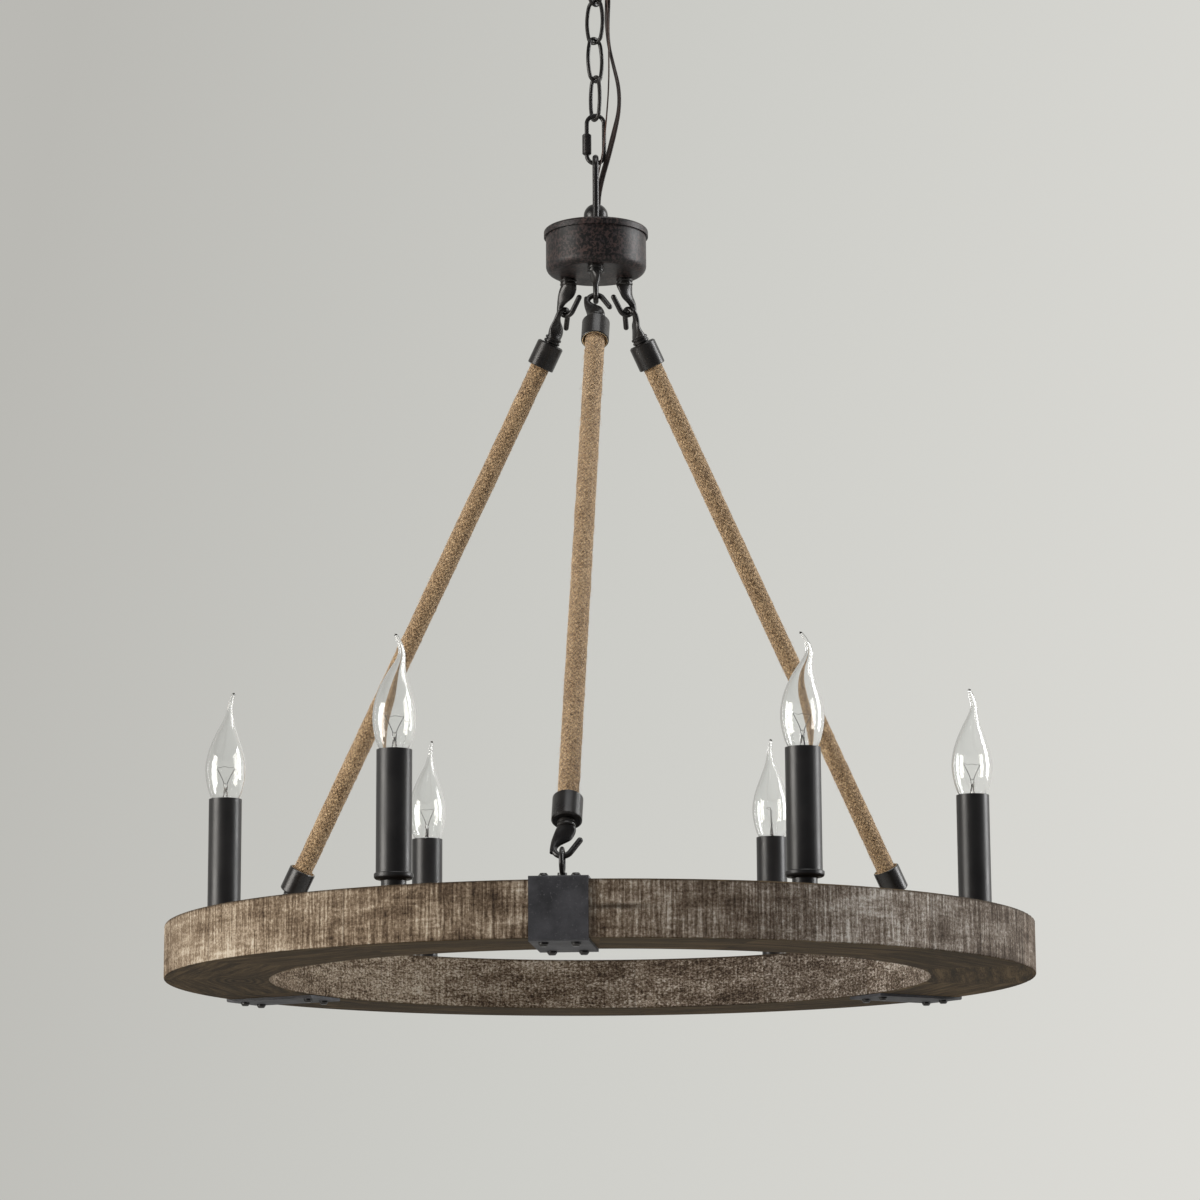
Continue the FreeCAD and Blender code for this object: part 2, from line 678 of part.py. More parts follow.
def hook_shape():
    """Cast hook under the origin: ringed collar, flat leaf, round bend, flared tip.

    The load passes through the throat's centre, hook_offset from the collar's
    axis towards -X and hook_reach below the seat.  The tip points to +X.
    """
    wire, throat = float(S.hook_wire), float(S.hook_throat)
    collar, height = float(S.hook_collar_diameter) / 2, float(S.hook_collar_height)
    reach, offset = float(S.hook_reach), float(S.hook_offset)
    stud = Part.makeCylinder(float(S.hook_stud_diameter) / 2, height)
    stud.translate(Vector(0, 0, -height))
    ring_height, gap = float(S.hook_ring_height), float(S.hook_ring_gap)
    rings = [Part.makeCylinder(float(S.hook_core_diameter) / 2, height, Vector(0, 0, -height))]
    for low in (gap + ring_height, 2 * (gap + ring_height)):
        ring = Part.makeCylinder(collar, ring_height, Vector(0, 0, -low))
        rings.append(ring.makeChamfer(ring_height / 4, ring.Edges))

    bend = throat + wire / 2
    centre = Vector(-offset, 0, -reach)
    flare = float(S.hook_tip_flare)
    bend_end = polar(centre, bend, -flare)
    tip_end = bend_end + Vector(math.sin(math.radians(flare)), 0, math.cos(math.radians(flare))) \
        * float(S.hook_tip_length)
    path = Part.Wire([arc(centre, bend, 175, 360 - flare), line(bend_end, tip_end)])
    rod = swept(path, wire).fuse(Part.makeSphere(wire / 2, tip_end))

    shoulder = -(offset + bend + wire / 2)
    leaf_sections = [
        # share of the way down, outer edge, inner edge, half thickness, twist
        (0.22, -collar * 0.95, collar * 0.95, collar * 0.75, 0),
        (0.38, shoulder * 0.78, collar, collar * 0.58, 14),
        (0.54, shoulder * 0.88, collar * 0.78, collar * 0.44, 18),
        (0.68, shoulder * 0.97, collar * 0.42, wire * 0.56, 12),
        (0.82, shoulder * 1.04, -collar * 0.3, wire * 0.52, 5),
        (1.00, shoulder * 1.08, shoulder + wire, wire * 0.5, 0),
        (1.15, shoulder * 1.08, shoulder + wire * 0.96, wire * 0.46, 0),
    ]
    wires = []
    for share, outside, inside, half_thick, twist in leaf_sections:
        middle = Vector((outside + inside) / 2, 0, -reach * share)
        half_wide = (inside - outside) / 2
        swing = Rotation(Z_AXIS, twist)
        across, through = swing.multVec(X_AXIS), swing.multVec(Y_AXIS)
        major, minor = (half_wide, half_thick)
        ellipse = Part.Ellipse(middle + across * major, middle + through * minor, middle) \
            if major >= minor else Part.Ellipse(middle + through * minor, middle + across * major, middle)
        wires.append(Part.Wire([ellipse.toShape()]))
    leaf = Part.makeLoft(wires, True, False)
    shape = stud
    for piece in rings + [leaf, rod]:
        shape = shape.fuse(piece)
    return shape.removeSplitter()


def hook_with_stud(length):
    stud = Part.makeCylinder(float(S.hook_stud_diameter) / 2, float(length))
    return HOOK.fuse(stud).removeSplitter()


def hub_hooks():
    """Hooks under the hub in radial planes, with their tips turned inwards."""
    shape = hook_with_stud(S.hook_stud_length)
    for side, turn in SIDES.items():
        spot = at_bearing(float(S.hub_turn) + turn, S.hook_circle, hub_bottom, turn=180)
        keep_shape(f"hub_hook_{side}", shape.copy(), spot)


# ----------------------------------------------------------------------- ropes

class Hanging:
    """Where one rope hangs: the line from the hub hook's throat to the wheel's eye."""

    def __init__(self, side, turn):
        wire, throat = float(S.hook_wire), float(S.hook_throat)
        bend = throat + wire / 2
        out = bearing_vector(float(S.hub_turn) + turn)
        hub_throat = out * float(S.hook_circle + S.hook_offset)
        hub_throat.z = float(hub_bottom - S.hook_reach)
        eye = bearing_vector(bearings[side]) * float(eye_circle)
        eye.z = float(wheel_top + S.eye_height)
        self.along = (eye - hub_throat).normalize()
        self.tangent = Vector(self.along.y, -self.along.x, 0).normalize() * -1
        eye_inner = float(S.eye_diameter) / 2 - float(S.eye_wire)
        top_throat = hub_throat + self.along * (throat - wire / 2 - float(S.chain_gap) + bend)
        self.low_contact = eye - self.along * (eye_inner - wire / 2 - float(S.open_gap))
        low_throat = self.low_contact - self.along * bend
        self.pivot = hub_throat + self.along * bend
        self.axis = self.along.cross(self.tangent)
        self.span = (low_throat - top_throat).Length
        facing = -1 if side == "left" else 1
        side_axis = self.tangent * facing
        up = self.along * -1
        turned = Rotation(side_axis, up.cross(side_axis), up, "XZY")
        self.frame = Placement(top_throat + side_axis * float(S.hook_offset), turned)
        radius = math.hypot(self.low_contact.x, self.low_contact.y)
        self.ratio = radius / (self.low_contact - self.pivot).Length


def rope_set(side, hanging):
    """Rope, its two ferrules and its two hooks along the frame's -Z axis."""
    reach, floor = float(S.hook_reach), float(S.ferrule_floor)
    span = hanging.span
    rope = doc.addObject("Part::Cylinder", f"rope_{side}")
    rope.Label = f"rope_{side}"
    rope.Radius = float(S.rope_diameter) / 2
    rope.setExpression("Radius", (S.rope_diameter / 2).formula)
    rope.Height = span - 2 * (reach + floor)
    keep(rope, hanging.frame * Placement(Vector(0, 0, -span + reach + floor), Rotation()))
    seats = [
        hanging.frame * Placement(Vector(0, 0, -reach), Rotation(X_AXIS, 180)),
        hanging.frame * Placement(Vector(0, 0, -span + reach), Rotation()),
    ]
    keep_group(f"rope_ferrules_{side}", FERRULE, seats)
    hooks = []
    for seat in seats:
        hook = ROPE_HOOK.copy()
        hook.Placement = seat
        hooks.append(hook)
    keep_shape(f"rope_hooks_{side}", Part.Compound(hooks))


def rope_ferrule():
    """Turned cup over a rope's end, closed where the hook's stud enters it."""
    body = new_body("rope_ferrule")
    outer, inner = S.ferrule_diameter / 2, S.ferrule_diameter / 2 - S.ferrule_wall
    stud, edge = S.hook_stud_diameter / 2 + S.screw_fit, S.ferrule_edge
    revolve(body, [
        (ZERO, S.ferrule_stud_depth),
        (stud, S.ferrule_stud_depth),
        (stud, ZERO),
        (outer - edge, ZERO),
        (outer, edge),
        (outer, S.ferrule_length - edge / 2),
        (outer - edge / 2, S.ferrule_length),
        (inner, S.ferrule_length),
        (inner, S.ferrule_floor),
        (ZERO, S.ferrule_floor),
    ])
    doc.recompute()
    return body


# ----------------------------------------------------------------------- wheel

def bearing_point(radius, bearing, sideways=ZERO):
    """Sizes of a point at a bearing, moved sideways round the wheel."""
    angle = as_size(bearing)
    radians = math.radians(angle.number)
    cosine = Size(math.cos(radians), f"cos({angle.formula})")
    sine = Size(math.sin(radians), f"sin({angle.formula})")
    x = -(radius * sine) - sideways * cosine
    y = -(radius * cosine) + sideways * sine
    return x, y


def bracket_screw_spots():
    """Distance from the wheel's axis and distance sideways of a bracket's four screws."""
    outer = S.wheel_radius - S.screw_edge_distance
    inner = wheel_inner_radius + S.screw_edge_distance
    half = S.screw_spacing / 2
    return [(outer, half), (outer, -half), (inner, half), (inner, -half)]


def wheel_ring():
    """Flat wooden ring with blind holes for screws and eyes and bores for the lamp stems."""
    body = new_body("wheel_ring")
    sketch = sketch_on(body, "XY_Plane")
    draw_circle(sketch, S.wheel_radius)
    draw_circle(sketch, wheel_inner_radius)
    pad(body, sketch, S.wheel_height, down=True)
    rims = [(radius, height) for radius in (S.wheel_radius, wheel_inner_radius)
            for height in (ZERO, -S.wheel_height)]
    soften(body, "Fillet", S.wheel_edge, lambda e: any(is_ring(e, *rim) for rim in rims))
    pilot = S.screw_diameter / 2 + S.screw_fit
    angles = (S.front_bearing, S.left_bearing, S.right_bearing)
    for lift, up in ((ZERO, False), (-S.wheel_height, True)):
        holes = sketch_on(body, "XY_Plane", lift)
        for angle in angles:
            for radius, sideways in bracket_screw_spots():
                draw_circle(holes, pilot, *bearing_point(radius, angle, sideways))
        pocket(body, holes, S.screw_length, up=up)
    eyes = sketch_on(body, "XY_Plane")
    for angle in angles:
        draw_circle(eyes, S.eye_shank_diameter / 2 + S.screw_fit, *bearing_point(eye_circle, angle))
    pocket(body, eyes, S.eye_shank_length)
    stems = sketch_on(body, "XY_Plane")
    for turn in CANDLES.values():
        draw_circle(stems, S.lamp_stem_diameter / 2 + S.screw_fit,
                    *bearing_point(candle_circle, S.candle_first_bearing + turn))
    pocket(body, stems, S.lamp_stem_depth)
    return keep(body, at_height(wheel_top))


def bracket(side):
    """Folded flat strap round the wheel's outside with four screws above and below."""
    body = new_body(f"bracket_{side}")
    inside = S.wheel_radius + S.bend_gap
    outside = inside + S.bracket_thickness
    end, low = wheel_inner_radius, -S.wheel_height
    sketch = sketch_on(body, "XZ_Plane")
    draw_outline(sketch, [
        (end, ZERO), (inside, ZERO), (inside, low), (end, low),
        (end, low - S.bracket_thickness), (outside, low - S.bracket_thickness),
        (outside, S.bracket_thickness), (end, S.bracket_thickness),
    ])
    pad(body, sketch, S.bracket_width, both_ways=True)
    bends = (float(S.bracket_thickness), float(low - S.bracket_thickness))
    soften(body, "Fillet", S.bracket_bend, lambda edge: all(
        abs(v.X - float(outside)) < 0.01 and min(abs(v.Z - z) for z in bends) < 0.01
        for v in edge.Vertexes) and abs(edge.Vertexes[0].Z - edge.Vertexes[-1].Z) < 0.01)
    holes = sketch_on(body, "XY_Plane")
    for radius, sideways in bracket_screw_spots():
        draw_circle(holes, S.screw_diameter / 2 + S.screw_fit, radius, sideways)
    pocket(body, holes, (S.wheel_height + S.bracket_thickness * 2) * 2, both_ways=True)
    eye = sketch_on(body, "XY_Plane")
    draw_circle(eye, S.eye_shank_diameter / 2 + S.screw_fit, eye_circle)
    pocket(body, eye, S.bracket_thickness * 3, both_ways=True)
    return keep(body, at_bearing(bearings[side], 0, wheel_top))


def bracket_screws():
    """Pan-head wood screws, four above and four below each bracket."""
    body = new_body("bracket_screw")
    shank, head = S.screw_diameter / 2, S.screw_head_diameter / 2
    dome = S.screw_head_height
    revolve(body, [
        (ZERO, -S.screw_length + S.bracket_thickness),
        (shank, -S.screw_length + S.bracket_thickness + shank),
        (shank, ZERO),
        (head, ZERO),
        (head, dome * 0.45),
        (head * 0.66, dome),
        (ZERO, dome),
    ])
    top = float(wheel_top + S.bracket_thickness)
    bottom = float(wheel_top - S.wheel_height - S.bracket_thickness)
    over = Rotation(X_AXIS, 180)
    spots = []
    for side in SIDES:
        frame = at_bearing(bearings[side], 0, 0)
        for radius, sideways in bracket_screw_spots():
            spot = frame.multVec(Vector(float(radius), float(sideways), 0))
            spots.append(Placement(Vector(spot.x, spot.y, top), Rotation()))
            spots.append(Placement(Vector(spot.x, spot.y, bottom), over))
    return keep_group("bracket_screws", body, spots)


def eye_bolt(side):
    """Screw eye in the radial plane that takes the rope's lower hook."""
    ring_radius = (S.eye_diameter - S.eye_wire) / 2
    ring = doc.addObject("Part::Torus", f"eye_ring_{side}")
    ring.Radius1, ring.Radius2 = float(ring_radius), float(S.eye_wire) / 2
    ring.setExpression("Radius1", ring_radius.formula)
    ring.setExpression("Radius2", (S.eye_wire / 2).formula)
    ring.Placement = Placement(Vector(0, 0, float(S.eye_height)), Rotation(X_AXIS, 90))
    neck = doc.addObject("Part::Cylinder", f"eye_neck_{side}")
    neck_height = S.eye_height - S.eye_diameter / 2 + S.eye_wire / 2 - S.bracket_thickness
    neck.Radius, neck.Height = float(S.eye_neck_diameter) / 2, float(neck_height)
    neck.setExpression("Radius", (S.eye_neck_diameter / 2).formula)
    neck.setExpression("Height", neck_height.formula)
    neck.Placement = at_height(S.bracket_thickness)
    shank = doc.addObject("Part::Cylinder", f"eye_shank_{side}")
    shank_length = S.eye_shank_length + S.bracket_thickness
    shank.Radius, shank.Height = float(S.eye_shank_diameter) / 2, float(shank_length)
    shank.setExpression("Radius", (S.eye_shank_diameter / 2).formula)
    shank.setExpression("Height", shank_length.formula)
    shank.Placement = at_height(-S.eye_shank_length)
    bolt = doc.addObject("Part::MultiFuse", f"eye_bolt_{side}")
    bolt.Label = f"eye_bolt_{side}"
    bolt.Shapes = [ring, neck, shank]
    return keep(bolt, at_bearing(bearings[side], eye_circle, wheel_top))


# --------------------------------------------------------------------- candles

def candle_spot(turn, height=ZERO):
    bearing = float(S.candle_first_bearing) + turn
    return at_bearing(bearing, candle_circle, wheel_top + height)


def candle_cup():
    """Cup with a waisted neck and a rounded flange that the sleeve stands in."""
    body = new_body("candle_cup")
    outer, neck = S.cup_diameter / 2, S.cup_neck_diameter / 2
    bore, seat = S.lamp_stem_diameter / 2 + S.screw_fit, S.sleeve_diameter / 2 + S.slide_fit
    under, round_edge = S.cup_height - S.cup_flange, S.cup_flange / 2
    revolve(body, [
        (bore, ZERO),
        (neck, ZERO),
        (neck, under - S.cup_neck_flare),
        (neck + S.cup_neck_flare, under),
        (outer - round_edge, under, (outer - round_edge, under + round_edge), "ccw"),
        (outer, under + round_edge),
        (outer, S.cup_height - S.cup_lip),
        (outer - S.cup_lip, S.cup_height),
        (seat, S.cup_height),
        (seat, S.cup_height - S.cup_recess),
        (bore, S.cup_height - S.cup_recess),
    ])
    return body


def candle_sleeve(name, turn):
    """Plain tube that stands in the cup and hides the lamp holder."""
    body = new_body(f"candle_sleeve_{name}")
    outer, inner = S.sleeve_diameter / 2, S.sleeve_diameter / 2 - S.sleeve_wall
    foot = S.cup_height - S.cup_recess
    revolve(body, [
        (inner, foot), (outer, foot), (outer, S.candle_top), (inner, S.candle_top)])
    return keep(body, candle_spot(turn))


def lamp_holder():
    """Holder on a threaded stem: the stem stands in the wheel, the bore takes the cap."""
    body = new_body("lamp_holder")
    stem, shell = S.lamp_stem_diameter / 2, S.lamp_holder_diameter / 2
    top = S.candle_top - S.lamp_holder_depth
    low = top - S.lamp_holder_height
    bore, floor = S.cap_diameter / 2 + S.cap_fit, top - S.lamp_bore_depth
    revolve(body, [
        (ZERO, -S.lamp_stem_depth),
        (stem, -S.lamp_stem_depth),
        (stem, low - S.lamp_holder_taper),
        (shell, low),
        (shell, top),
        (bore, top),
        (bore, floor),
        (ZERO, floor),
    ])
    return body


def bulb_cap(name, turn):
    """Screw cap of the lamp with its centre contact and the glass stem it carries."""
    body = new_body(f"bulb_cap_{name}")
    radius, length = S.cap_diameter / 2, S.cap_length
    stem, flare, rise = S.glass_stem_diameter / 2, S.glass_stem_flare / 2, S.glass_stem_height
    revolve(body, [
        (ZERO, ZERO),
        (radius * 0.4, ZERO),
        (radius * 0.55, length * 0.07),
        (radius * 0.9, length * 0.2),
        (radius, length * 0.26),
        (radius, length),
        (flare, length),
        (stem, length + flare),
        (stem, length + rise - stem / 2),
        (ZERO, length + rise),
    ])
    return keep(body, candle_spot(turn, S.candle_top - S.cap_depth))


def bulb_sections():
    """Height over the sleeve, radius and sideways bend of the flame-shaped glass."""
    full, tall = float(S.bulb_diameter) / 2, float(S.bulb_height)
    base = float(S.cap_length - S.cap_depth)
    shares = [
        (0.000, 0.350, 0.00), (0.068, 0.680, 0.00), (0.150, 0.830, 0.00), (0.300, 1.000, 0.00),
        (0.450, 0.900, 0.00), (0.580, 0.640, -0.04), (0.700, 0.370, 0.03), (0.780, 0.215, 0.16),
        (0.860, 0.135, 0.215), (0.930, 0.110, 0.10), (1.000, 0.080, -0.06),
    ]
    return [(base + (tall - base) * share, full * radius, full * bend)
            for share, radius, bend in shares]


def bulb_glass(name, turn):
    """Thin flame-shaped envelope with a bent tip, open at its neck."""
    sections = bulb_sections()
    wall = float(S.bulb_glass)
    outside = []
    inside = []
    for index, (height, radius, bend) in enumerate(sections):
        outside.append(Part.Wire([Part.Circle(Vector(bend, 0, height), Z_AXIS, radius).toShape()]))
        if index < len(sections) - 2:
            drop = -wall if index == 0 else 0
            hollow = Part.Circle(Vector(bend, 0, height + drop), Z_AXIS, max(radius - wall, wall))
            inside.append(Part.Wire([hollow.toShape()]))
    shape = Part.makeLoft(outside, True, False).cut(Part.makeLoft(inside, True, False))
    spot = candle_spot(turn, S.candle_top)
    facing = Placement(spot.Base, Rotation(Z_AXIS, BULB_TURNS[name]))
    return keep_shape(f"bulb_glass_{name}", shape, facing)


# ------------------------------------------------------------------------ flex

def flex(label, diameter, start, end, middle):
    """A loose lead from the canopy loop down beside the chain into the hub's ball."""
    points = [start] + [Vector(*point) for point in middle] + [end]
    path, radii = rounded_route(points)
    shape = swept(path, diameter)
    expected = math.pi * float(diameter) ** 2 / 4 * path.Length
    print(f"{label}: length {path.Length:.1f} mm, least radius {min(radii):.1f} mm, "
          f"volume {shape.Volume / expected:.4f} of section times length")
    return keep_shape(label, shape)


def flexes():
    top = float(collar_top - S.collar_height / 2)
    floor = float(lid_top + S.ball_height + S.ball_diameter / 2 - S.cord_bore_depth)
    level = float(wheel_top)
    route = [(1.4, 0.4, 836), (10.6, 3.4, 811), (11.2, 4, 792), (10.4, 4.2, 772),
             (11.4, 3.6, 752), (15.4, 1.6, 733), (20.2, -0.4, 712), (20.4, -2, 692),
             (16, -2.6, 672), (10.6, -2.6, 650), (5.2, -1.3, 632), (1.4, -0.3, 614)]
    flex("supply_cord", S.flex_diameter, Vector(1.4, 0.4, top), Vector(1.4, -0.3, floor),
         [(x, y, level + z) for x, y, z in route])
    route = [(-1.4, -1.2, 837), (3.4, -2.2, 828), (8.6, -2.6, 809), (10.2, -1.4, 789),
             (11.2, -1.6, 770), (11.6, -1.2, 750), (11.8, -1.4, 728), (11.2, -1.8, 708),
             (9.9, -3, 690), (8.2, -5.4, 670), (5.6, -5.8, 650), (1.4, -3.6, 630),
             (-1.4, -2, 614)]
    flex("ground_wire", S.ground_diameter, Vector(-1.4, -1.2, top), Vector(-1.4, -2, floor),
         [(x, y, level + z) for x, y, z in route])


# -------------------------------------------------------------------- assembly

ceiling_canopy()
mounting_strap()
mounting_screws()
canopy_nipple()
canopy_ring_nut()
canopy_loop()
for link_name in LINK_TURNS:
    chain_link(link_name)
quick_link()
quick_link_nut()
hub_loop()
hub_lid()
hub_cup()
hub_nuts()
HOOK = hook_shape()
ROPE_HOOK = hook_with_stud(S.ferrule_stud_depth)
hub_hooks()
FERRULE = rope_ferrule()
hangings = {side: Hanging(side, turn) for side, turn in SIDES.items()}
for side, hanging in hangings.items():
    rope_set(side, hanging)
wheel_ring()
for side in SIDES:
    bracket(side)
bracket_screws()
for side in SIDES:
    eye_bolt(side)
keep_group("candle_cups", candle_cup(), [candle_spot(turn) for turn in CANDLES.values()])
keep_group("lamp_holders", lamp_holder(), [candle_spot(turn) for turn in CANDLES.values()])
for candle, turn in CANDLES.items():
    candle_sleeve(candle, turn)
    bulb_cap(candle, turn)
    bulb_glass(candle, turn)
flexes()

doc.recompute()
for item in doc.Objects:
    if {"Invalid", "Error"} & set(item.State):
        raise ValueError(f"{item.Label} did not build: {item.State}")
for item in nodes:
    if item.Shape.isNull() or not item.Shape.isValid():
        raise ValueError(f"{item.Label} has no valid shape")

os.makedirs("parts", exist_ok=True)
for item in nodes:
    item.Shape.exportStep(f"parts/{item.Label}.step")
print(len(nodes), "nodes")
for side, hanging in hangings.items():
    print(f"rope_{side}: pivot {tuple(round(v, 3) for v in hanging.pivot)}, "
          f"axis {tuple(round(v, 5) for v in hanging.axis)}, ratio {hanging.ratio:.4f}, "
          f"rope {hanging.span - 2 * float(S.hook_reach + S.ferrule_floor):.1f} mm")
print(f"lid top {float(lid_top):.2f}, hub bottom {float(hub_bottom):.2f}, wheel top {float(wheel_top):.2f}")
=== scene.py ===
# %% [markdown]
# # A rope-hung wagon wheel chandelier, dressed for the camera
#
# The construction arrives as a fixed frame: every metal and wooden piece at its real size.
# This lesson gives each surface its finish and models what a workshop drawing leaves plain:
# the hairy jute ropes, the blown glass of the flame bulbs and the flat flex beside the chain.
# All lengths are metres, Z points up, and the viewer stands at -Y.

import math
import random

import bpy
from mathutils import Matrix, Vector
from mathutils.noise import fractal


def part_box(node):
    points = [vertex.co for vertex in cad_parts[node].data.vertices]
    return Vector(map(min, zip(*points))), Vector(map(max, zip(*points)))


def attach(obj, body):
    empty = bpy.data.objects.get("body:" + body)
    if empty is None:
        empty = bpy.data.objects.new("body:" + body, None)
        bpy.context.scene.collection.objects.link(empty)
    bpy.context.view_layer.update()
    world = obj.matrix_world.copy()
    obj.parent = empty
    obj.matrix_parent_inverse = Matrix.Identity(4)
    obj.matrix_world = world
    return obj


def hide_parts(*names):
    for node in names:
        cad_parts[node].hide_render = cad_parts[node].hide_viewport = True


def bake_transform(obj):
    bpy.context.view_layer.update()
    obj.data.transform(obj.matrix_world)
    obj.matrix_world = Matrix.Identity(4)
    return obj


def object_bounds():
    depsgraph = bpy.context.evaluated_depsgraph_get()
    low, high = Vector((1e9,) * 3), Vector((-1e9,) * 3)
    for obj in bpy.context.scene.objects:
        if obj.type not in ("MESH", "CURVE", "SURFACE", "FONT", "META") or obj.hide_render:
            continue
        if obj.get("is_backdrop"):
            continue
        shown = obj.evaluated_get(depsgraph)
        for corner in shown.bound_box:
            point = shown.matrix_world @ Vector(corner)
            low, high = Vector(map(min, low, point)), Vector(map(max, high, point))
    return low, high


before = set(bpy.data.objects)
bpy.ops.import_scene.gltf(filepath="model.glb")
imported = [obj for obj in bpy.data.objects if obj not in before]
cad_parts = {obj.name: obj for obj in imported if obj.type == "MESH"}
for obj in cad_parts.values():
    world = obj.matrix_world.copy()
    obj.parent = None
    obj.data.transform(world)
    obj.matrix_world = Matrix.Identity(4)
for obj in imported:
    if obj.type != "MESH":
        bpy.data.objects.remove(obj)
cad_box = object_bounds()
MM = 0.001
SIDES = ("front", "left", "right")
CANDLES = ("front_left", "left", "rear_left", "rear_right", "right", "front_right")

# %% [markdown]
# ## The camera
#
# The photograph was taken from a little below the wheel with a long lens, looking up.
# The focal length and the place came from fitting the wheel's rim to the picture.
# The picture is also turned by a third of a degree, so the camera gets the same roll.

# %% Camera
IMAGE_WIDTH_PX = 1200
FOCAL_LENGTH_PX = 3727
CAMERA_PLACE = Vector((0.0017, -3.012, -1.193))
PITCH_UP, ROLL = math.radians(10.94), math.radians(0.32)

ahead = Vector((0, math.cos(PITCH_UP), math.sin(PITCH_UP)))
level_right = Vector((1, 0, 0))
level_up = level_right.cross(ahead)
right = level_right * math.cos(ROLL) - level_up * math.sin(ROLL)
up = level_right * math.sin(ROLL) + level_up * math.cos(ROLL)
bpy.ops.object.camera_add()
camera = bpy.context.object
camera.matrix_world = Matrix.Translation(CAMERA_PLACE) @ Matrix((right, up, -ahead)).transposed().to_4x4()
camera.data.sensor_width = 36
camera.data.lens = camera.data.sensor_width * FOCAL_LENGTH_PX / IMAGE_WIDTH_PX
bpy.context.scene.camera = camera
print(f"camera: {camera.data.lens:.1f} mm lens, looking up {math.degrees(PITCH_UP):.1f} degrees")

# %% [markdown]
# ## Wiring a shader
#
# A material is a small network: noises and gradients at one end, the Principled shader at the
# other. These helpers keep the network readable. Whatever is a plain number is set on the socket
# itself, and only what changes over the surface is a link.

# %% Helpers for shader networks


def add_node(tree, kind, settings=None, **sockets):
    """A node with its settings and its input sockets, where a link is given as a socket."""
    made = tree.nodes.new(kind)
    for name, value in (settings or {}).items():
        setattr(made, name, value)
    feed(tree, made, **sockets)
    return made


def feed(tree, made, **sockets):
    """Give a node's input sockets, by name or by number, their links or plain values."""
    for name, value in sockets.items():
        socket = made.inputs[int(name) if name.isdigit() else name.replace("_", " ")]
        if isinstance(value, bpy.types.NodeSocket):
            tree.links.new(value, socket)
        else:
            socket.default_value = value


def maths(tree, operation, first, second=0.0, clamp=False):
    """One arithmetic step of a network."""
    made = tree.nodes.new("ShaderNodeMath")
    made.operation, made.use_clamp = operation, clamp
    feed(tree, made, **{"0": first, "1": second})
    return made.outputs[0]


def plus(tree, first, second):
    return maths(tree, "ADD", first, second)


def minus(tree, first, second):
    return maths(tree, "SUBTRACT", first, second)


def times(tree, first, second):
    return maths(tree, "MULTIPLY", first, second)


def spread(tree, value, low, high, to_low=0.0, to_high=1.0):
    """Stretch a range of values to another range, and hold it there."""
    return add_node(tree, "ShaderNodeMapRange", {"clamp": True}, Value=value, From_Min=low,
                    From_Max=high, To_Min=to_low, To_Max=to_high).outputs["Result"]


def blend_colours(tree, share, first, second):
    """Mix two colours by a share."""
    made = tree.nodes.new("ShaderNodeMix")
    made.data_type = "RGBA"
    for socket, value in ((made.inputs[0], share), (made.inputs[6], first), (made.inputs[7], second)):
        if isinstance(value, bpy.types.NodeSocket):
            tree.links.new(value, socket)
        else:
            socket.default_value = value if isinstance(value, float) else (*value, 1)[:4]
    return made.outputs[2]


def blend_values(tree, share, first, second):
    """Mix two numbers by a share."""
    return add_node(tree, "ShaderNodeMix", {"data_type": "FLOAT"},
                    **{"0": share, "2": first, "3": second}).outputs[0]


def vector_maths(tree, operation, output, first, second=(0, 0, 0)):
    """One step with vectors, where output says whether its Vector or its Value is wanted."""
    return add_node(tree, "ShaderNodeVectorMath", {"operation": operation},
                    **{"0": first, "1": second}).outputs[output]


def noise(tree, place, scale, detail=4.0, roughness=0.55, distortion=0.0):
    return add_node(tree, "ShaderNodeTexNoise", Vector=place, Scale=scale, Detail=detail,
                    Roughness=roughness, Distortion=distortion).outputs[0]


def stretch(tree, place, scale):
    """Stretch a pattern along the axes."""
    return add_node(tree, "ShaderNodeMapping", Vector=place, Scale=scale).outputs["Vector"]


def bump(tree, height, distance):
    return add_node(tree, "ShaderNodeBump", Height=height, Distance=distance).outputs["Normal"]


def new_material(name):
    """A node material, its tree, its Principled shader and its object coordinates."""
    made = bpy.data.materials.new(name)
    made.use_nodes = True
    tree = made.node_tree
    place = tree.nodes.new("ShaderNodeTexCoord").outputs["Object"]
    return made, tree, tree.nodes["Principled BSDF"], place


def dress(material, *names):
    """Put a material on frame nodes."""
    for name in names:
        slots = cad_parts[name].data.materials
        slots.clear()
        slots.append(material)


def from_srgb(red, green, blue):
    """A colour written as it is seen on a screen, 0 to 255, as light."""
    shares = [value / 255 for value in (red, green, blue)]
    return tuple(s / 12.92 if s <= 0.04045 else ((s + 0.055) / 1.055) ** 2.4 for s in shares)


# %% [markdown]
# ## The room
#
# A studio with a pale floor far below the lamp. The wall is the world's own colour, seen by the
# camera, through the glass and in the metal, so it is pale without lighting the lamp too
# strongly. Behind the viewer the room is dim, which keeps the black metal black, with crisp lights.
# The floor glows a little for the camera alone, so that it is as pale as the wall from above.

# %% Floor, world and lights
WALL_LEFT = from_srgb(186, 185, 180)
WALL_MIDDLE = from_srgb(205, 205, 200)
WALL_RIGHT = from_srgb(221, 220, 215)
LEFT_AT, MIDDLE_AT, RIGHT_AT, WALL_LEAN = -0.22, -0.04, 0.16, -0.25
AMBIENT, DIM_ROOM, DIM_TO_PALE = (0.25, 0.25, 0.255), (0.10, 0.10, 0.105), (-0.3, 0.6)
FLOOR_COLOUR = from_srgb(214, 213, 209)
FLOOR_DROP, FLOOR_RADIUS, FLOOR_GLOW = 1.45, 7, 0.27

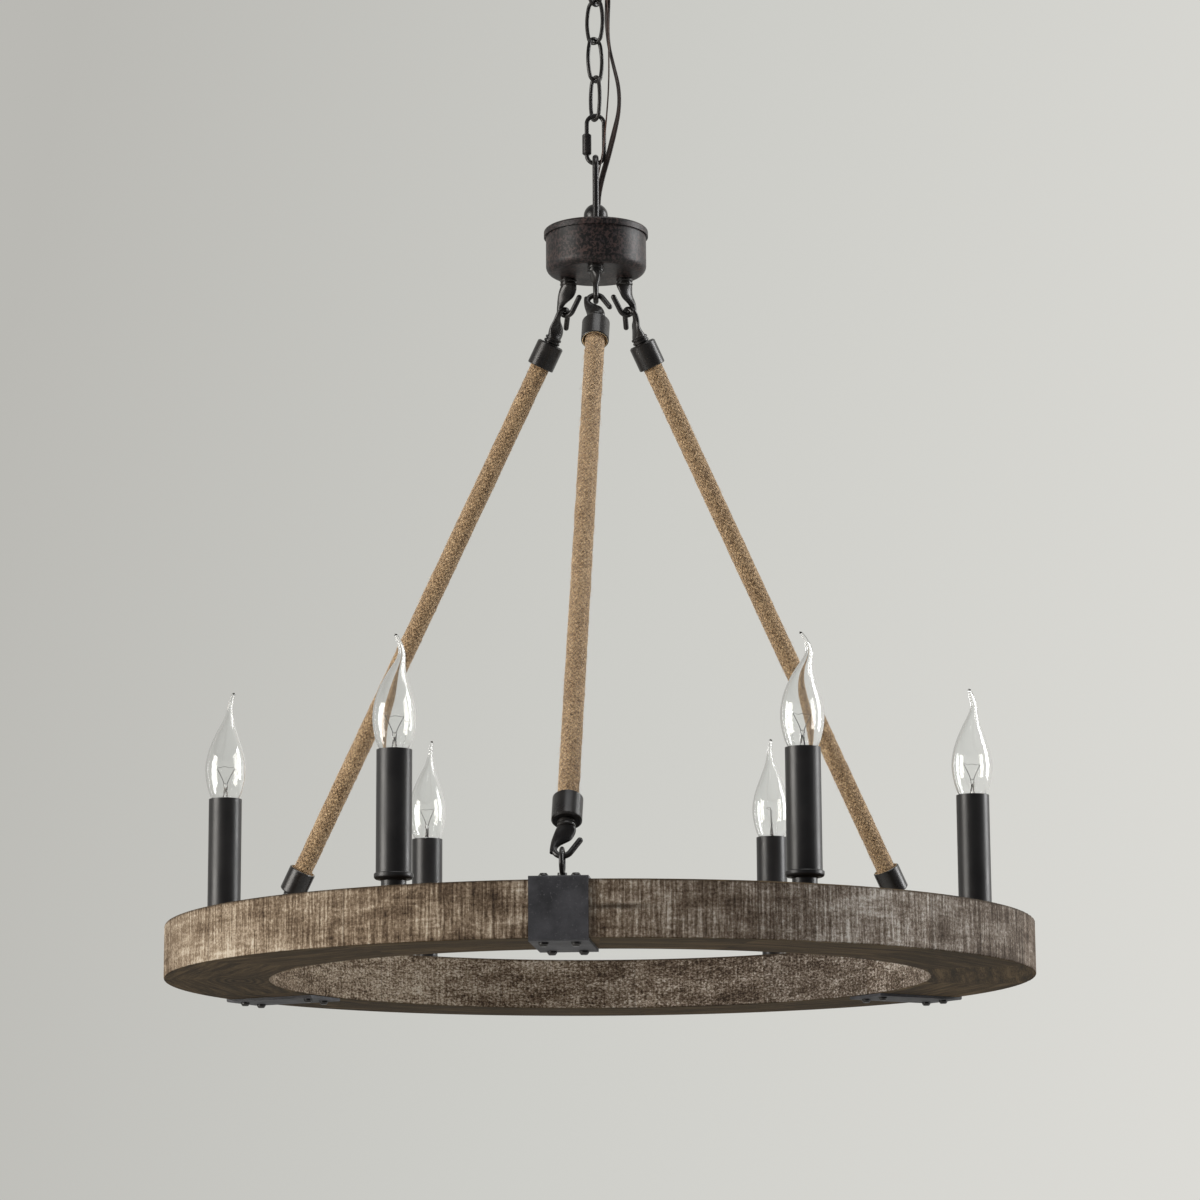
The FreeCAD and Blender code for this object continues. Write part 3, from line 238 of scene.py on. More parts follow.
bpy.context.scene.view_settings.view_transform = "Standard"
world = bpy.data.worlds.new("studio")
bpy.context.scene.world = world
world.use_nodes = True
sky = world.node_tree
background = sky.nodes["Background"]
paths = sky.nodes.new("ShaderNodeLightPath")
seen = maths(sky, "MAXIMUM", paths.outputs["Is Camera Ray"], paths.outputs["Is Transmission Ray"])
direction = sky.nodes.new("ShaderNodeTexCoord").outputs["Generated"]
aim = add_node(sky, "ShaderNodeSeparateXYZ", Vector=direction).outputs
across_wall = plus(sky, aim["X"], times(sky, aim["Z"], WALL_LEAN))
wall = blend_colours(sky, spread(sky, across_wall, LEFT_AT, MIDDLE_AT), WALL_LEFT, WALL_MIDDLE)
wall = blend_colours(sky, spread(sky, across_wall, MIDDLE_AT, RIGHT_AT), wall, WALL_RIGHT)
mirrored_room = blend_colours(sky, spread(sky, aim["Y"], *DIM_TO_PALE), DIM_ROOM, wall)
unseen = blend_colours(sky, paths.outputs["Is Glossy Ray"], AMBIENT, mirrored_room)
sky.links.new(blend_colours(sky, seen, unseen, wall), background.inputs["Color"])

bpy.ops.object.select_all(action="DESELECT")
bpy.ops.mesh.primitive_circle_add(vertices=96, radius=FLOOR_RADIUS, fill_type="NGON",
                                  location=(0, 0, cad_box[0].z - FLOOR_DROP))
floor = bpy.context.object
floor.name = "studio_floor"
bpy.ops.object.transform_apply()
paint, tree, shader, place = new_material("studio_floor")
looked_at = tree.nodes.new("ShaderNodeLightPath").outputs["Is Camera Ray"]
feed(tree, shader, Base_Color=(*FLOOR_COLOUR, 1), Roughness=0.9, Emission_Color=(1, 1, 0.95, 1),
     Emission_Strength=times(tree, looked_at, FLOOR_GLOW))
clear = tree.nodes.new("ShaderNodeBsdfTransparent")
under = tree.nodes.new("ShaderNodeNewGeometry")
choose = tree.nodes.new("ShaderNodeMixShader")
tree.links.new(under.outputs["Backfacing"], choose.inputs[0])
tree.links.new(shader.outputs[0], choose.inputs[1])
tree.links.new(clear.outputs[0], choose.inputs[2])
tree.links.new(choose.outputs[0], tree.nodes["Material Output"].inputs["Surface"])
floor.data.materials.append(paint)
floor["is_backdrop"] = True

LAMP_CENTRE = (cad_box[0] + cad_box[1]) / 2


def softbox(name, place, width, height, watts, tint=(1, 1, 1)):
    """A rectangular studio light that faces the chandelier."""
    bpy.ops.object.light_add(type="AREA", location=place)
    light = bpy.context.object
    light.name = name
    light.data.shape = "RECTANGLE"
    light.data.size, light.data.size_y, light.data.energy = width, height, watts
    light.data.color = tint
    light.rotation_euler = (LAMP_CENTRE - Vector(place)).to_track_quat("-Z", "Y").to_euler()
    return light


softbox("softbox_left", (-2.7, -1.2, -0.5), 1.5, 2.2, 85, (1.0, 0.965, 0.91))
softbox("softbox_right", (3.0, 0.35, 0.1), 1.1, 2.4, 85)
softbox("softbox_top", (0.4, -1.0, 2.3), 2.2, 1.4, 30)
print("room: floor, world and three soft boxes")

# %% [markdown]
# ## Shared finishes
#
# Cast and painted iron share two effects: a mottled coat, where the paint lies thicker and
# thinner, and a fine grain that breaks up the gloss. Both are node groups with named inputs,
# built once and placed in each metal with its own values.

# %% Group: mottled coat


def effect(name, sockets, results):
    """An empty shader node group with these inputs and outputs."""
    group = bpy.data.node_groups.new(name, "ShaderNodeTree")
    for title, kind, value in sockets:
        socket = group.interface.new_socket(title, in_out="INPUT", socket_type=kind)
        if value is not None:
            socket.default_value = value
    for title, kind in results:
        group.interface.new_socket(title, in_out="OUTPUT", socket_type=kind)
    start, end = group.nodes.new("NodeGroupInput"), group.nodes.new("NodeGroupOutput")
    return group, start.outputs, end.inputs


COLOUR, NUMBER, DIRECTION = "NodeSocketColor", "NodeSocketFloat", "NodeSocketVector"

mottle, given, result = effect(
    "mottled_coat",
    [("Place", DIRECTION, None), ("Thin", COLOUR, (0.05, 0.05, 0.05, 1)),
     ("Thick", COLOUR, (0.02, 0.02, 0.02, 1)), ("Fleck", COLOUR, (0.09, 0.04, 0.02, 1)),
     ("Patch Size", NUMBER, 60.0), ("Fleck Size", NUMBER, 700.0), ("Flecks", NUMBER, 0.3)],
    [("Color", COLOUR)])
patches = noise(mottle, given["Place"], given["Patch Size"], 5.0, 0.6)
coat = blend_colours(mottle, spread(mottle, patches, 0.35, 0.65), given["Thin"], given["Thick"])
specks = noise(mottle, given["Place"], given["Fleck Size"], 2.0, 0.7)
edge = minus(mottle, 0.78, times(mottle, given["Flecks"], 0.4))
shown = maths(mottle, "MULTIPLY", minus(mottle, specks, edge), 9.0, clamp=True)
mottle.links.new(blend_colours(mottle, shown, coat, given["Fleck"]), result["Color"])

grainy, given, result = effect(
    "fine_grain",
    [("Place", DIRECTION, None), ("Size", NUMBER, 900.0), ("Low", NUMBER, 0.35),
     ("High", NUMBER, 0.55)],
    [("Roughness", NUMBER), ("Height", NUMBER)])
fine = noise(grainy, given["Place"], given["Size"], 3.0, 0.6)
broad = noise(grainy, given["Place"], 45.0, 2.0, 0.5)
mixed = plus(grainy, times(grainy, fine, 0.5), times(grainy, broad, 0.5))
reach = minus(grainy, given["High"], given["Low"])
share = spread(grainy, mixed, 0.35, 0.65)
grainy.links.new(plus(grainy, given["Low"], times(grainy, share, reach)), result["Roughness"])
grainy.links.new(fine, result["Height"])


def placed(tree, group, **sockets):
    """A shared effect in a material's network."""
    made = tree.nodes.new("ShaderNodeGroup")
    made.node_tree = group
    feed(tree, made, **{name: (*value, 1) if isinstance(value, tuple) else value
                        for name, value in sockets.items()})
    return made.outputs


def painted_metal(name, thin, thick, fleck, flecks=0.3, patch_size=60.0, fleck_size=700.0,
                  low=0.35, high=0.55, metallic=0.0, relief=0.06):
    """Coated iron: mottled colour, uneven gloss and a fine cast grain."""
    made, tree, shader, place = new_material(name)
    coat = placed(tree, mottle, Place=place, Thin=thin, Thick=thick, Fleck=fleck,
                  Patch_Size=patch_size, Fleck_Size=fleck_size, Flecks=flecks)
    grain = placed(tree, grainy, Place=place, Low=low, High=high)
    feed(tree, shader, Base_Color=coat["Color"], Roughness=grain["Roughness"], Metallic=metallic,
         Normal=bump(tree, grain["Height"], relief * MM))
    return made


print("shared effects:", mottle.name, "and", grainy.name)

# %% [markdown]
# ## Black iron, charcoal straps and the speckled hub
#
# The hooks, chain and sleeves are satin black. The straps round the wheel are a bluish charcoal,
# duller and more mottled. The hub and the canopy look nearly black too, but theirs is a rusty brown
# coat under dense black specks, so the brown shows between them.

# %% Metal finishes
CAST_COLOURS = ((0.017, 0.0145, 0.013), (0.007, 0.0065, 0.0065), (0.055, 0.034, 0.022))
cast_black = painted_metal("cast_black", *CAST_COLOURS, low=0.22, high=0.40)
candle_black = painted_metal("candle_black", (0.0165, 0.0155, 0.0155), (0.0105, 0.010, 0.0103),
                             (0.024, 0.022, 0.021), low=0.33, high=0.45, relief=0.02)
slate_strap = painted_metal("slate_strap", (0.050, 0.050, 0.058), (0.016, 0.0165, 0.020),
                            (0.075, 0.075, 0.082), flecks=0.42, patch_size=52.0, fleck_size=620.0,
                            low=0.48, high=0.66, relief=0.05)
rust_bronze = painted_metal("rust_bronze", (0.060, 0.036, 0.031), (0.028, 0.022, 0.024),
                            (0.0035, 0.003, 0.003), flecks=0.88, patch_size=110.0, fleck_size=430.0,
                            low=0.38, high=0.52, relief=0.10)
rust_bronze.node_tree.nodes["Principled BSDF"].inputs["Specular IOR Level"].default_value = 0.38
zinc_steel = painted_metal("zinc_steel", (0.50, 0.50, 0.49), (0.38, 0.38, 0.38), (0.3, 0.3, 0.29),
                           low=0.28, high=0.45, metallic=1.0)
holder_plastic = painted_metal("holder_plastic", (0.03, 0.03, 0.03), (0.022, 0.022, 0.022),
                               (0.035, 0.035, 0.035), low=0.5, high=0.6, relief=0.02)
cap_brass = painted_metal("cap_brass", (0.62, 0.50, 0.28), (0.50, 0.40, 0.22), (0.3, 0.22, 0.12),
                          low=0.25, high=0.4, metallic=1.0)

dress(cast_black, "canopy_loop", "canopy_ring_nut", "quick_link", "quick_link_nut", "hub_loop",
      *[f"chain_link_{n}" for n in range(1, 5)],
      *[f"{kind}_{side}" for kind in ("hub_hook", "rope_hooks", "eye_bolt") for side in SIDES],
      "bracket_screws")
dress(candle_black, "candle_cups", *[f"candle_sleeve_{name}" for name in CANDLES])
dress(slate_strap, *[f"bracket_{side}" for side in SIDES])
dress(rust_bronze, "hub_lid", "hub_cup", "ceiling_canopy")
dress(zinc_steel, "mounting_strap", "mounting_screws", "canopy_nipple", "hub_hook_nuts", "hub_stem_nut")
dress(holder_plastic, "lamp_holders")
dress(cap_brass, *[f"bulb_cap_{name}" for name in CANDLES])
print("metals dressed")

# %% [markdown]
# ## Weathered wood
#
# The wheel is glued up from segments of plank, sawn round and stained. Three things make it:
# the grain runs along each plank on the top and underside, the sawn rims show fine upright saw
# marks and rough pits, and a whitish wash lies over brown stain. The rims are lighter and darker
# at places across the wheel that are listed, and they carry painted light: lighter and warmer
# on the left, where the left softbox falls, and duller and cooler to the right.
# The angle round the wheel picks the plank, and each plank has its own grain and tone.

# %% Wood
PLANKS = 14
FIRST_JOINT = math.radians(6.6)
PLANK_SHIFT = 3.0
WHEEL_LOW, WHEEL_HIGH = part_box("wheel_ring")
RIM_RADIUS, BETWEEN_RIMS = 0.35, (0.29, 0.31)

weathered_wood, tree, shader, place = new_material("weathered_wood")
apart = add_node(tree, "ShaderNodeSeparateXYZ", Vector=place).outputs
bearing = maths(tree, "ARCTAN2", apart["X"], apart["Y"])
turns = maths(tree, "DIVIDE", minus(tree, bearing, FIRST_JOINT), math.tau / PLANKS)
plank = maths(tree, "FLOOR", turns)
within = minus(tree, minus(tree, turns, plank), 0.5)
swing = times(tree, within, math.tau / PLANKS)
squares = times(tree, apart["X"], apart["X"]), times(tree, apart["Y"], apart["Y"])
radius = maths(tree, "SQRT", plus(tree, *squares))
along = times(tree, radius, maths(tree, "SINE", swing))
across = times(tree, radius, maths(tree, "COSINE", swing))
lot = add_node(tree, "ShaderNodeTexWhiteNoise", {"noise_dimensions": "1D"}, W=plank).outputs
shift = times(tree, lot["Value"], PLANK_SHIFT)
board = add_node(tree, "ShaderNodeCombineXYZ", X=plus(tree, along, shift),
                 Y=plus(tree, across, shift), Z=apart["Z"]).outputs[0]
round_rim = add_node(tree, "ShaderNodeCombineXYZ", X=times(tree, bearing, RIM_RADIUS),
                     Y=radius, Z=apart["Z"]).outputs[0]


def pattern(place, waves, detail=3.0, roughness=0.6, distortion=0.0):
    """A noise with its own number of waves to the metre along each axis."""
    return noise(tree, stretch(tree, place, waves), 1.0, detail, roughness, distortion)


grain = pattern(board, (9, 130, 130), 6.0, 0.62, 0.6)
fibres = pattern(board, (60, 900, 900))
saw_marks = pattern(round_rim, (540, 8, 30))
coarse_saw = pattern(round_rim, (120, 4, 16))
drag_marks = pattern(round_rim, (26, 6, 150), 4.0, distortion=0.8)
pits = pattern(round_rim, (430, 200, 430), 5.0, 0.75)
rough_spots = pattern(round_rim, (300, 200, 640), 5.0, 0.75)
blotches = pattern(round_rim, (22, 14, 60), 4.0, distortion=0.5)
stains = pattern(round_rim, (6, 6, 16), 3.0, 0.55, 0.4)

facing = add_node(tree, "ShaderNodeSeparateXYZ",
                  Vector=tree.nodes.new("ShaderNodeTexCoord").outputs["Normal"]).outputs["Z"]
flat = spread(tree, maths(tree, "ABSOLUTE", facing), 0.4, 0.8)


def weighed(*shares):
    """A weighted sum of patterns."""
    total = 0.0
    for weight, value in shares:
        total = plus(tree, times(tree, value, weight), total)
    return total


def ramp(tree, value, *stops):
    """A colour for each share, blended between the stops."""
    made = tree.nodes.new("ShaderNodeValToRGB")
    tree.links.new(value, made.inputs[0])
    band = made.color_ramp.elements
    while len(band) < len(stops):
        band.new(0.5)
    for element, (share, colour) in zip(band, stops):
        element.position, element.color = share, (*colour, 1)
    return made.outputs[0]


# %% Colour of the rims
inner_face = spread(tree, radius, *BETWEEN_RIMS, 1.0, 0.0)
sawn = weighed((0.40, saw_marks), (0.48, pits), (0.12, coarse_saw), (0.22, drag_marks),
               (0.24, blotches), (0.22, stains), (-0.09, 1.0))
pitted = weighed((0.22, saw_marks), (0.95, rough_spots), (0.08, coarse_saw), (0.30, drag_marks),
                 (0.20, blotches), (0.12, stains), (-0.185, 1.0))


def soft_spot(centre, half_width):
    """A share that is full at one place across the wheel and fades out to either side."""
    away = maths(tree, "ABSOLUTE", minus(tree, apart["X"], centre))
    return spread(tree, away, 0.0, half_width, 1.0, 0.0)


def hand_set(spots):
    """Lighter and darker areas, each with a strength, a place across the wheel and a half width."""
    return weighed(*[(strength, soft_spot(centre, half_width)) for strength, centre, half_width in spots])


# Lighter and darker places on the outer and inner rims, each with a strength, a place across the wheel and a
# half width.
RIM_SPOTS_OUTSIDE = ((0.070, -0.28, 0.07), (-0.045, -0.115, 0.07), (0.060, 0.205, 0.08))
RIM_SPOTS_INSIDE = ((0.045, -0.17, 0.1), (0.02, -0.02, 0.08), (-0.055, 0.11, 0.09))
sawn_with_spots = plus(tree, sawn, hand_set(RIM_SPOTS_OUTSIDE))
pitted_with_spots = plus(tree, pitted, hand_set(RIM_SPOTS_INSIDE))
share = spread(tree, blend_values(tree, inner_face, sawn_with_spots, pitted_with_spots), 0.60, 0.90)
# Painted light: the rims are painted lighter and warmer on the left, where the left softbox falls, and duller
# and cooler to the right, over the wood's own colours.
lit_warmer_left = ramp(tree, share, (0.0, (0.024, 0.015, 0.009)), (0.28, (0.085, 0.056, 0.034)),
            (0.55, (0.200, 0.146, 0.097)), (0.80, (0.400, 0.325, 0.240)), (1.0, (0.560, 0.490, 0.395)))
shaded_cooler_right = ramp(tree, share, (0.0, (0.022, 0.015, 0.010)), (0.28, (0.072, 0.051, 0.036)),
            (0.55, (0.165, 0.128, 0.097)), (0.80, (0.350, 0.305, 0.258)), (1.0, (0.560, 0.520, 0.470)))
light_share_to_right = spread(tree, apart["X"], -0.15, 0.15)
rim_wood_and_light = blend_colours(tree, light_share_to_right, lit_warmer_left, shaded_cooler_right)

# %% Colour of the top and underside
KNOT_PLACE, KNOT_FLATTENED, KNOT_RINGS = (-0.288, -0.02), 0.45, 1050.0

figure = weighed((0.65, grain), (0.35, fibres))
knot_x = minus(tree, apart["X"], KNOT_PLACE[0])
knot_y = times(tree, minus(tree, apart["Y"], KNOT_PLACE[1]), KNOT_FLATTENED)
from_knot = vector_maths(tree, "LENGTH", "Value",
                         add_node(tree, "ShaderNodeCombineXYZ", X=knot_x, Y=knot_y).outputs[0])
wavy = plus(tree, times(tree, from_knot, KNOT_RINGS), times(tree, grain, 9.0))
knot_rings = plus(tree, times(tree, maths(tree, "SINE", wavy), 0.10), 0.45)
knot_share = spread(tree, from_knot, 0.010, 0.036, 0.85, 0.0)
figure = blend_values(tree, knot_share, figure, knot_rings)
face_colour = ramp(tree, spread(tree, figure, 0.39, 0.62), (0.0, (0.021, 0.0130, 0.0052)),
                   (0.5, (0.058, 0.0375, 0.0165)), (1.0, (0.118, 0.080, 0.041)))
wood_colour = blend_colours(tree, flat, rim_wood_and_light, face_colour)

# %% Planks, joints, edges and the crack
DARK_STAIN = (0.030, 0.019, 0.011)
CRACK_DEPTH, CRACK_MIDDLE, CRACK_WANDER = 20.5 * MM, 12 * MM, 8 * MM
CRACK_FADES, CRACK_BLUR, FRONT_Y = (8 * MM, 34 * MM), (0.5 * MM, 3.0 * MM), -0.3

tone = plus(tree, 0.84, times(tree, lot["Value"], 0.30))
toned = add_node(tree, "ShaderNodeHueSaturation", Color=wood_colour, Value=tone).outputs[0]
seam = maths(tree, "ABSOLUTE", minus(tree, maths(tree, "ABSOLUTE", within), 0.5))
joint_line = spread(tree, seam, 0.0, 0.006, 0.55, 0.0)
rim_edge = minus(tree, WHEEL_HIGH.z, apart["Z"])
edge_line = times(tree, spread(tree, rim_edge, 0.4 * MM, 2.2 * MM, 0.8, 0.0), minus(tree, 1.0, flat))
crack_rise = times(tree, minus(tree, blotches, 0.5), CRACK_WANDER)
crack_height = plus(tree, WHEEL_HIGH.z - CRACK_DEPTH, crack_rise)
from_middle = maths(tree, "ABSOLUTE", minus(tree, apart["X"], CRACK_MIDDLE))
crack_reach = spread(tree, from_middle, *CRACK_FADES, 1.0, 0.0)
from_crack = maths(tree, "ABSOLUTE", minus(tree, apart["Z"], crack_height))
crack = times(tree, spread(tree, from_crack, *CRACK_BLUR, 1.0, 0.0), crack_reach)
crack = times(tree, crack, maths(tree, "LESS_THAN", apart["Y"], FRONT_Y))
lines = maths(tree, "MAXIMUM", joint_line, edge_line)
dark = maths(tree, "MAXIMUM", lines, times(tree, crack, 0.8))
rim_height = weighed((0.5, saw_marks), (0.6, pits), (0.25, coarse_saw), (-0.6, crack))
face_height = weighed((0.25, grain), (0.2, fibres))
relief = blend_values(tree, flat, rim_height, face_height)
feed(tree, shader, Base_Color=blend_colours(tree, dark, toned, DARK_STAIN), Roughness=0.78,
     Specular_IOR_Level=0.16, Normal=bump(tree, relief, 1.1 * MM))
dress(weathered_wood, "wheel_ring")
print("wood:", PLANKS, "planks round a wheel", round((WHEEL_HIGH.x - WHEEL_LOW.x) / MM), "mm across")

# %% [markdown]
# ## Flex and ground wire
#
# Two leads run beside the chain: a flat brown twin flex and a thin bare-looking ground wire.
# Each follows the line of its control points as a smooth NURBS curve. The flex is flat, so a mesh
# is swept along that curve with an oval section that turns slowly, as a loose ribbon does.
# Both leads start at the ceiling plate at the top.

# %% Lines of the leads
CORD_TOP, BALL_FLOOR = -37 * MM, -281.1 * MM
FLEX_WIDTH, FLEX_THICKNESS, GROUND_WIDTH = 5.1 * MM, 2.7 * MM, 1.3 * MM


def smooth_line(points):
    """The points of a smooth NURBS curve that has these control points."""
    curve = bpy.data.curves.new("line", "CURVE")
    curve.dimensions, curve.resolution_u = "3D", 10
    spline = curve.splines.new("NURBS")
    spline.points.add(len(points) - 1)
    for made, point in zip(spline.points, points):
        made.co = (*point, 1)
    spline.order_u, spline.use_endpoint_u = 3, True
    holder = bpy.data.objects.new("line", curve)
    bpy.context.scene.collection.objects.link(holder)
    bpy.context.view_layer.update()
    shown = holder.evaluated_get(bpy.context.evaluated_depsgraph_get())
    mesh = bpy.data.meshes.new_from_object(shown)
    line = [vertex.co.copy() for vertex in mesh.vertices]
    bpy.data.objects.remove(holder)
    bpy.data.curves.remove(curve)
    bpy.data.meshes.remove(mesh)
    return line


def reaches(line):
    """How far along the line each of its points lies."""
    far = [0.0]
    for a, b in zip(line, line[1:]):
        far.append(far[-1] + (b - a).length)
    return far


def evenly(line, step):
    """The same line, with its points an even step apart."""
    far = reaches(line)
    count = round(far[-1] / step) + 1
    made, at = [], 0
    for index in range(count):
        want = far[-1] * index / (count - 1)
        while at < len(line) - 2 and far[at + 1] < want:
            at += 1
        made.append(line[at].lerp(line[at + 1], (want - far[at]) / (far[at + 1] - far[at])))
    return made


def lead_line(top, points, bottom):
    """A lead's line, from the loop's collar to the hub's ball, heights taken from the wheel's top."""
    middle = [(x * MM, y * MM, WHEEL_HIGH.z + z * MM) for x, y, z in points]
    return smooth_line([(top[0] * MM, top[1] * MM, CORD_TOP), *middle,
                        (bottom[0] * MM, bottom[1] * MM, BALL_FLOOR)])


flex_line = lead_line((1.4, 0.4), [
    (1.4, 0.4, 836), (10.6, 3.4, 811), (11.2, 4, 792), (10.4, 4.2, 772), (11.4, 3.6, 752),
    (15.4, 1.6, 733), (20.2, -0.4, 712), (20.4, -2, 692), (16, -2.6, 672), (10.6, -2.6, 650),
    (5.2, -1.3, 632), (1.4, -0.3, 614)], (1.4, -0.3))
ground_line = lead_line((-1.4, -1.2), [
    (-1.4, -1.2, 837), (3.4, -2.2, 828), (8.6, -2.6, 809), (10.2, -1.4, 789), (11.2, -1.6, 770),
    (11.6, -1.2, 750), (11.8, -1.4, 728), (11.2, -1.8, 708), (9.9, -3, 690), (8.2, -5.4, 670),
    (5.6, -5.8, 650), (1.4, -3.6, 630), (-1.4, -2, 614)], (-1.4, -2))
print(f"leads: flex {reaches(flex_line)[-1] / MM:.1f} mm, ground wire {reaches(ground_line)[-1] / MM:.1f} mm")

# %% Sweeping a section along a line


def sections_along(line):
    """Each point of a line with two directions square to the line, the first nearest to +X."""
    made = []
    for index, point in enumerate(line):
        onward = (line[min(index + 1, len(line) - 1)] - line[max(index - 1, 0)]).normalized()
        side = (Vector((1, 0, 0)) - onward * onward.x).normalized()
        made.append((point, side, onward.cross(side)))
    return made


def swept_piece(name, line, section, finish, body):
    """A closed tube along a line, where section(index) gives the corners round that point.

    It rides a body, if one is given. Its UV map follows the surface: across is
    the share of a turn, along is metres.
    """
    corners, faces, places = [], [], []
    for index, (point, side, over) in enumerate(sections_along(line)):
        ring = section(index)
        corners += [point + side * x + over * y for x, y in ring]
    count, last = len(ring), len(corners) - len(ring)
    far = reaches(line)
    for index in range(len(line) - 1):
        for step in range(count):
            after = (step + 1) % count
            row, next_row = index * count, (index + 1) * count
            faces.append((row + step, row + after, next_row + after, next_row + step))
            u, v = step / count, (step + 1) / count
            places += [(u, far[index]), (v, far[index]), (v, far[index + 1]), (u, far[index + 1])]
    corners += [line[0], line[-1]]
    for step in range(count):
        after = (step + 1) % count
        faces.append((after, step, len(corners) - 2))
        faces.append((last + step, last + after, len(corners) - 1))
        places += [(step / count, far[0])] * 3 + [(step / count, far[-1])] * 3
    mesh = bpy.data.meshes.new(name)
    mesh.from_pydata(corners, [], faces)
    layer = mesh.uv_layers.new(name="UVMap")
    for corner, spot in zip(layer.data, places):
        corner.uv = spot
    mesh.shade_smooth()
    mesh.materials.append(finish)
    made = bpy.data.objects.new(name, mesh)
    bpy.context.scene.collection.objects.link(made)
    if body:
        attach(made, body)
    return made


def circle(radius, count):
    return [(radius * math.cos(math.tau * n / count), radius * math.sin(math.tau * n / count))
            for n in range(count)]


# %% Leads


def lead_finish(name, light, dark, ridge):
    """A drawn, slightly uneven skin; ridge is the depth of its grain in mm."""
    made, tree, shader, place = new_material(name)
    tone = spread(tree, noise(tree, place, 140.0, 3.0), 0.35, 0.65)
    feed(tree, shader, Base_Color=blend_colours(tree, tone, light, dark),
         Roughness=spread(tree, noise(tree, place, 600.0), 0.3, 0.7, 0.40, 0.55),
         Normal=bump(tree, noise(tree, place, 1400.0, 2.0), ridge * MM))
    return made


flex_brown = lead_finish("flex_brown", (0.022, 0.011, 0.008), (0.010, 0.006, 0.005), 0.03)
ground_copper = lead_finish("ground_copper", (0.085, 0.042, 0.028), (0.040, 0.022, 0.017), 0.02)
flex_path, ground_path = evenly(flex_line, 1.2 * MM), evenly(ground_line, 1.5 * MM)
GROOVE_DEPTH, GROOVE_WIDTH = 0.2, 0.22
BROAD_TO_EDGE = ((0.0, 8), (0.22, 22), (0.42, 78), (0.58, 64), (0.75, 24), (1.0, 6))


def flex_turn(share):
    """How far the ribbon has turned from lying broadside on to the viewer, in radians."""
    for (start, low), (end, high) in zip(BROAD_TO_EDGE, BROAD_TO_EDGE[1:]):
        if share <= end:
            part = (share - start) / (end - start)
            return math.radians(low + (high - low) * (3 - 2 * part) * part * part)
    return math.radians(BROAD_TO_EDGE[-1][1])


def flex_section(index):
    """Two round cores side by side with a shallow groove between them."""
    turn = flex_turn(index / (len(flex_path) - 1))
    made = []
    for x, y in circle(1.0, 28):
        waist = 1 - GROOVE_DEPTH * math.exp(-(x / GROOVE_WIDTH) ** 2)
        x, y = x * FLEX_WIDTH / 2, y * FLEX_THICKNESS / 2 * waist
        made.append((x * math.cos(turn) - y * math.sin(turn), x * math.sin(turn) + y * math.cos(turn)))
    return made


flex = swept_piece("flex_ribbon", flex_path, flex_section, flex_brown, None)
ground = swept_piece("ground_thread", ground_path, lambda index: circle(GROUND_WIDTH / 2, 12),
                     ground_copper, None)
for piece, node, slot, path, width in (
        (flex, "supply_cord", "flex_brown", flex_path, FLEX_WIDTH),
        (ground, "ground_wire", "ground_copper", ground_path, GROUND_WIDTH)):
    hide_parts(node)
    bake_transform(piece)
print("leads swept:", len(flex.data.polygons), "and", len(ground.data.polygons), "faces")

# %% [markdown]
# ## Jute ropes
#
# Each rope is a soft sleeve of jute braided over a core, sixteen millimetres thick and taut.
# Close to, it is three things: a slightly lumpy body, a fine braid whose strands cross both ways,
# and stray hairs. The body is a tube whose radius follows a slow noise, the braid is a pattern on
# the tube's own UV map with a whole number of strands, so that they meet all the way round, and
# the hairs are real thin tubes, because they make the soft outline against the wall.

# %% Braid group
ROPE_DIAMETER = 16 * MM
STRANDS, BRAID_ANGLE = 16, math.radians(38)
ROUND_ROPE = math.pi * ROPE_DIAMETER
STRAND_WIDTH = ROUND_ROPE * math.cos(BRAID_ANGLE) / STRANDS

braid, given, result = effect(
    "braided_strands",
    [("Place", DIRECTION, None), ("Raggedness", NUMBER, 1.5)],
    [("Height", NUMBER), ("Gap", NUMBER), ("Fibre", NUMBER)])
at = add_node(braid, "ShaderNodeSeparateXYZ", Vector=given["Place"]).outputs
around = times(braid, at["X"], ROUND_ROPE / STRAND_WIDTH)
along_rope = maths(braid, "DIVIDE", at["Y"], STRAND_WIDTH)
wobble = noise(braid, stretch(braid, given["Place"], (16, 330, 1)), 1.0, 2.0)
wobble = times(braid, minus(braid, wobble, 0.5), given["Raggedness"])
lean_x = times(braid, around, math.cos(BRAID_ANGLE))
lean_y = times(braid, along_rope, math.sin(BRAID_ANGLE))
rising = plus(braid, minus(braid, lean_x, lean_y), wobble)
falling = plus(braid, plus(braid, lean_x, lean_y), wobble)


def strand_height(across):
    """A round back over each strand, zero in the gap beside it."""
    share = minus(braid, maths(braid, "FRACT", across), 0.5)
    squared = times(braid, share, share)
    return minus(braid, 1.0, times(braid, squared, 4.0))


parity = plus(braid, maths(braid, "FLOOR", rising), maths(braid, "FLOOR", falling))
over = times(braid, maths(braid, "FRACT", times(braid, parity, 0.5)), 2.0)
up_back = times(braid, strand_height(rising), over)
down_back = times(braid, strand_height(falling), minus(braid, 1.0, over))
back = plus(braid, up_back, down_back)
hair_place = add_node(braid, "ShaderNodeCombineXYZ", X=rising, Y=falling, Z=over).outputs[0]
long_up = noise(braid, stretch(braid, hair_place, (5.5, 1.1, 3)), 1.0, 4.0, 0.65)
long_down = noise(braid, stretch(braid, hair_place, (1.1, 5.5, 3)), 1.0, 4.0, 0.65)
fibre = blend_values(braid, over, long_down, long_up)
body_height, fibre_height = times(braid, back, 0.6), times(braid, fibre, 0.8)
braid.links.new(plus(braid, body_height, fibre_height), result["Height"])
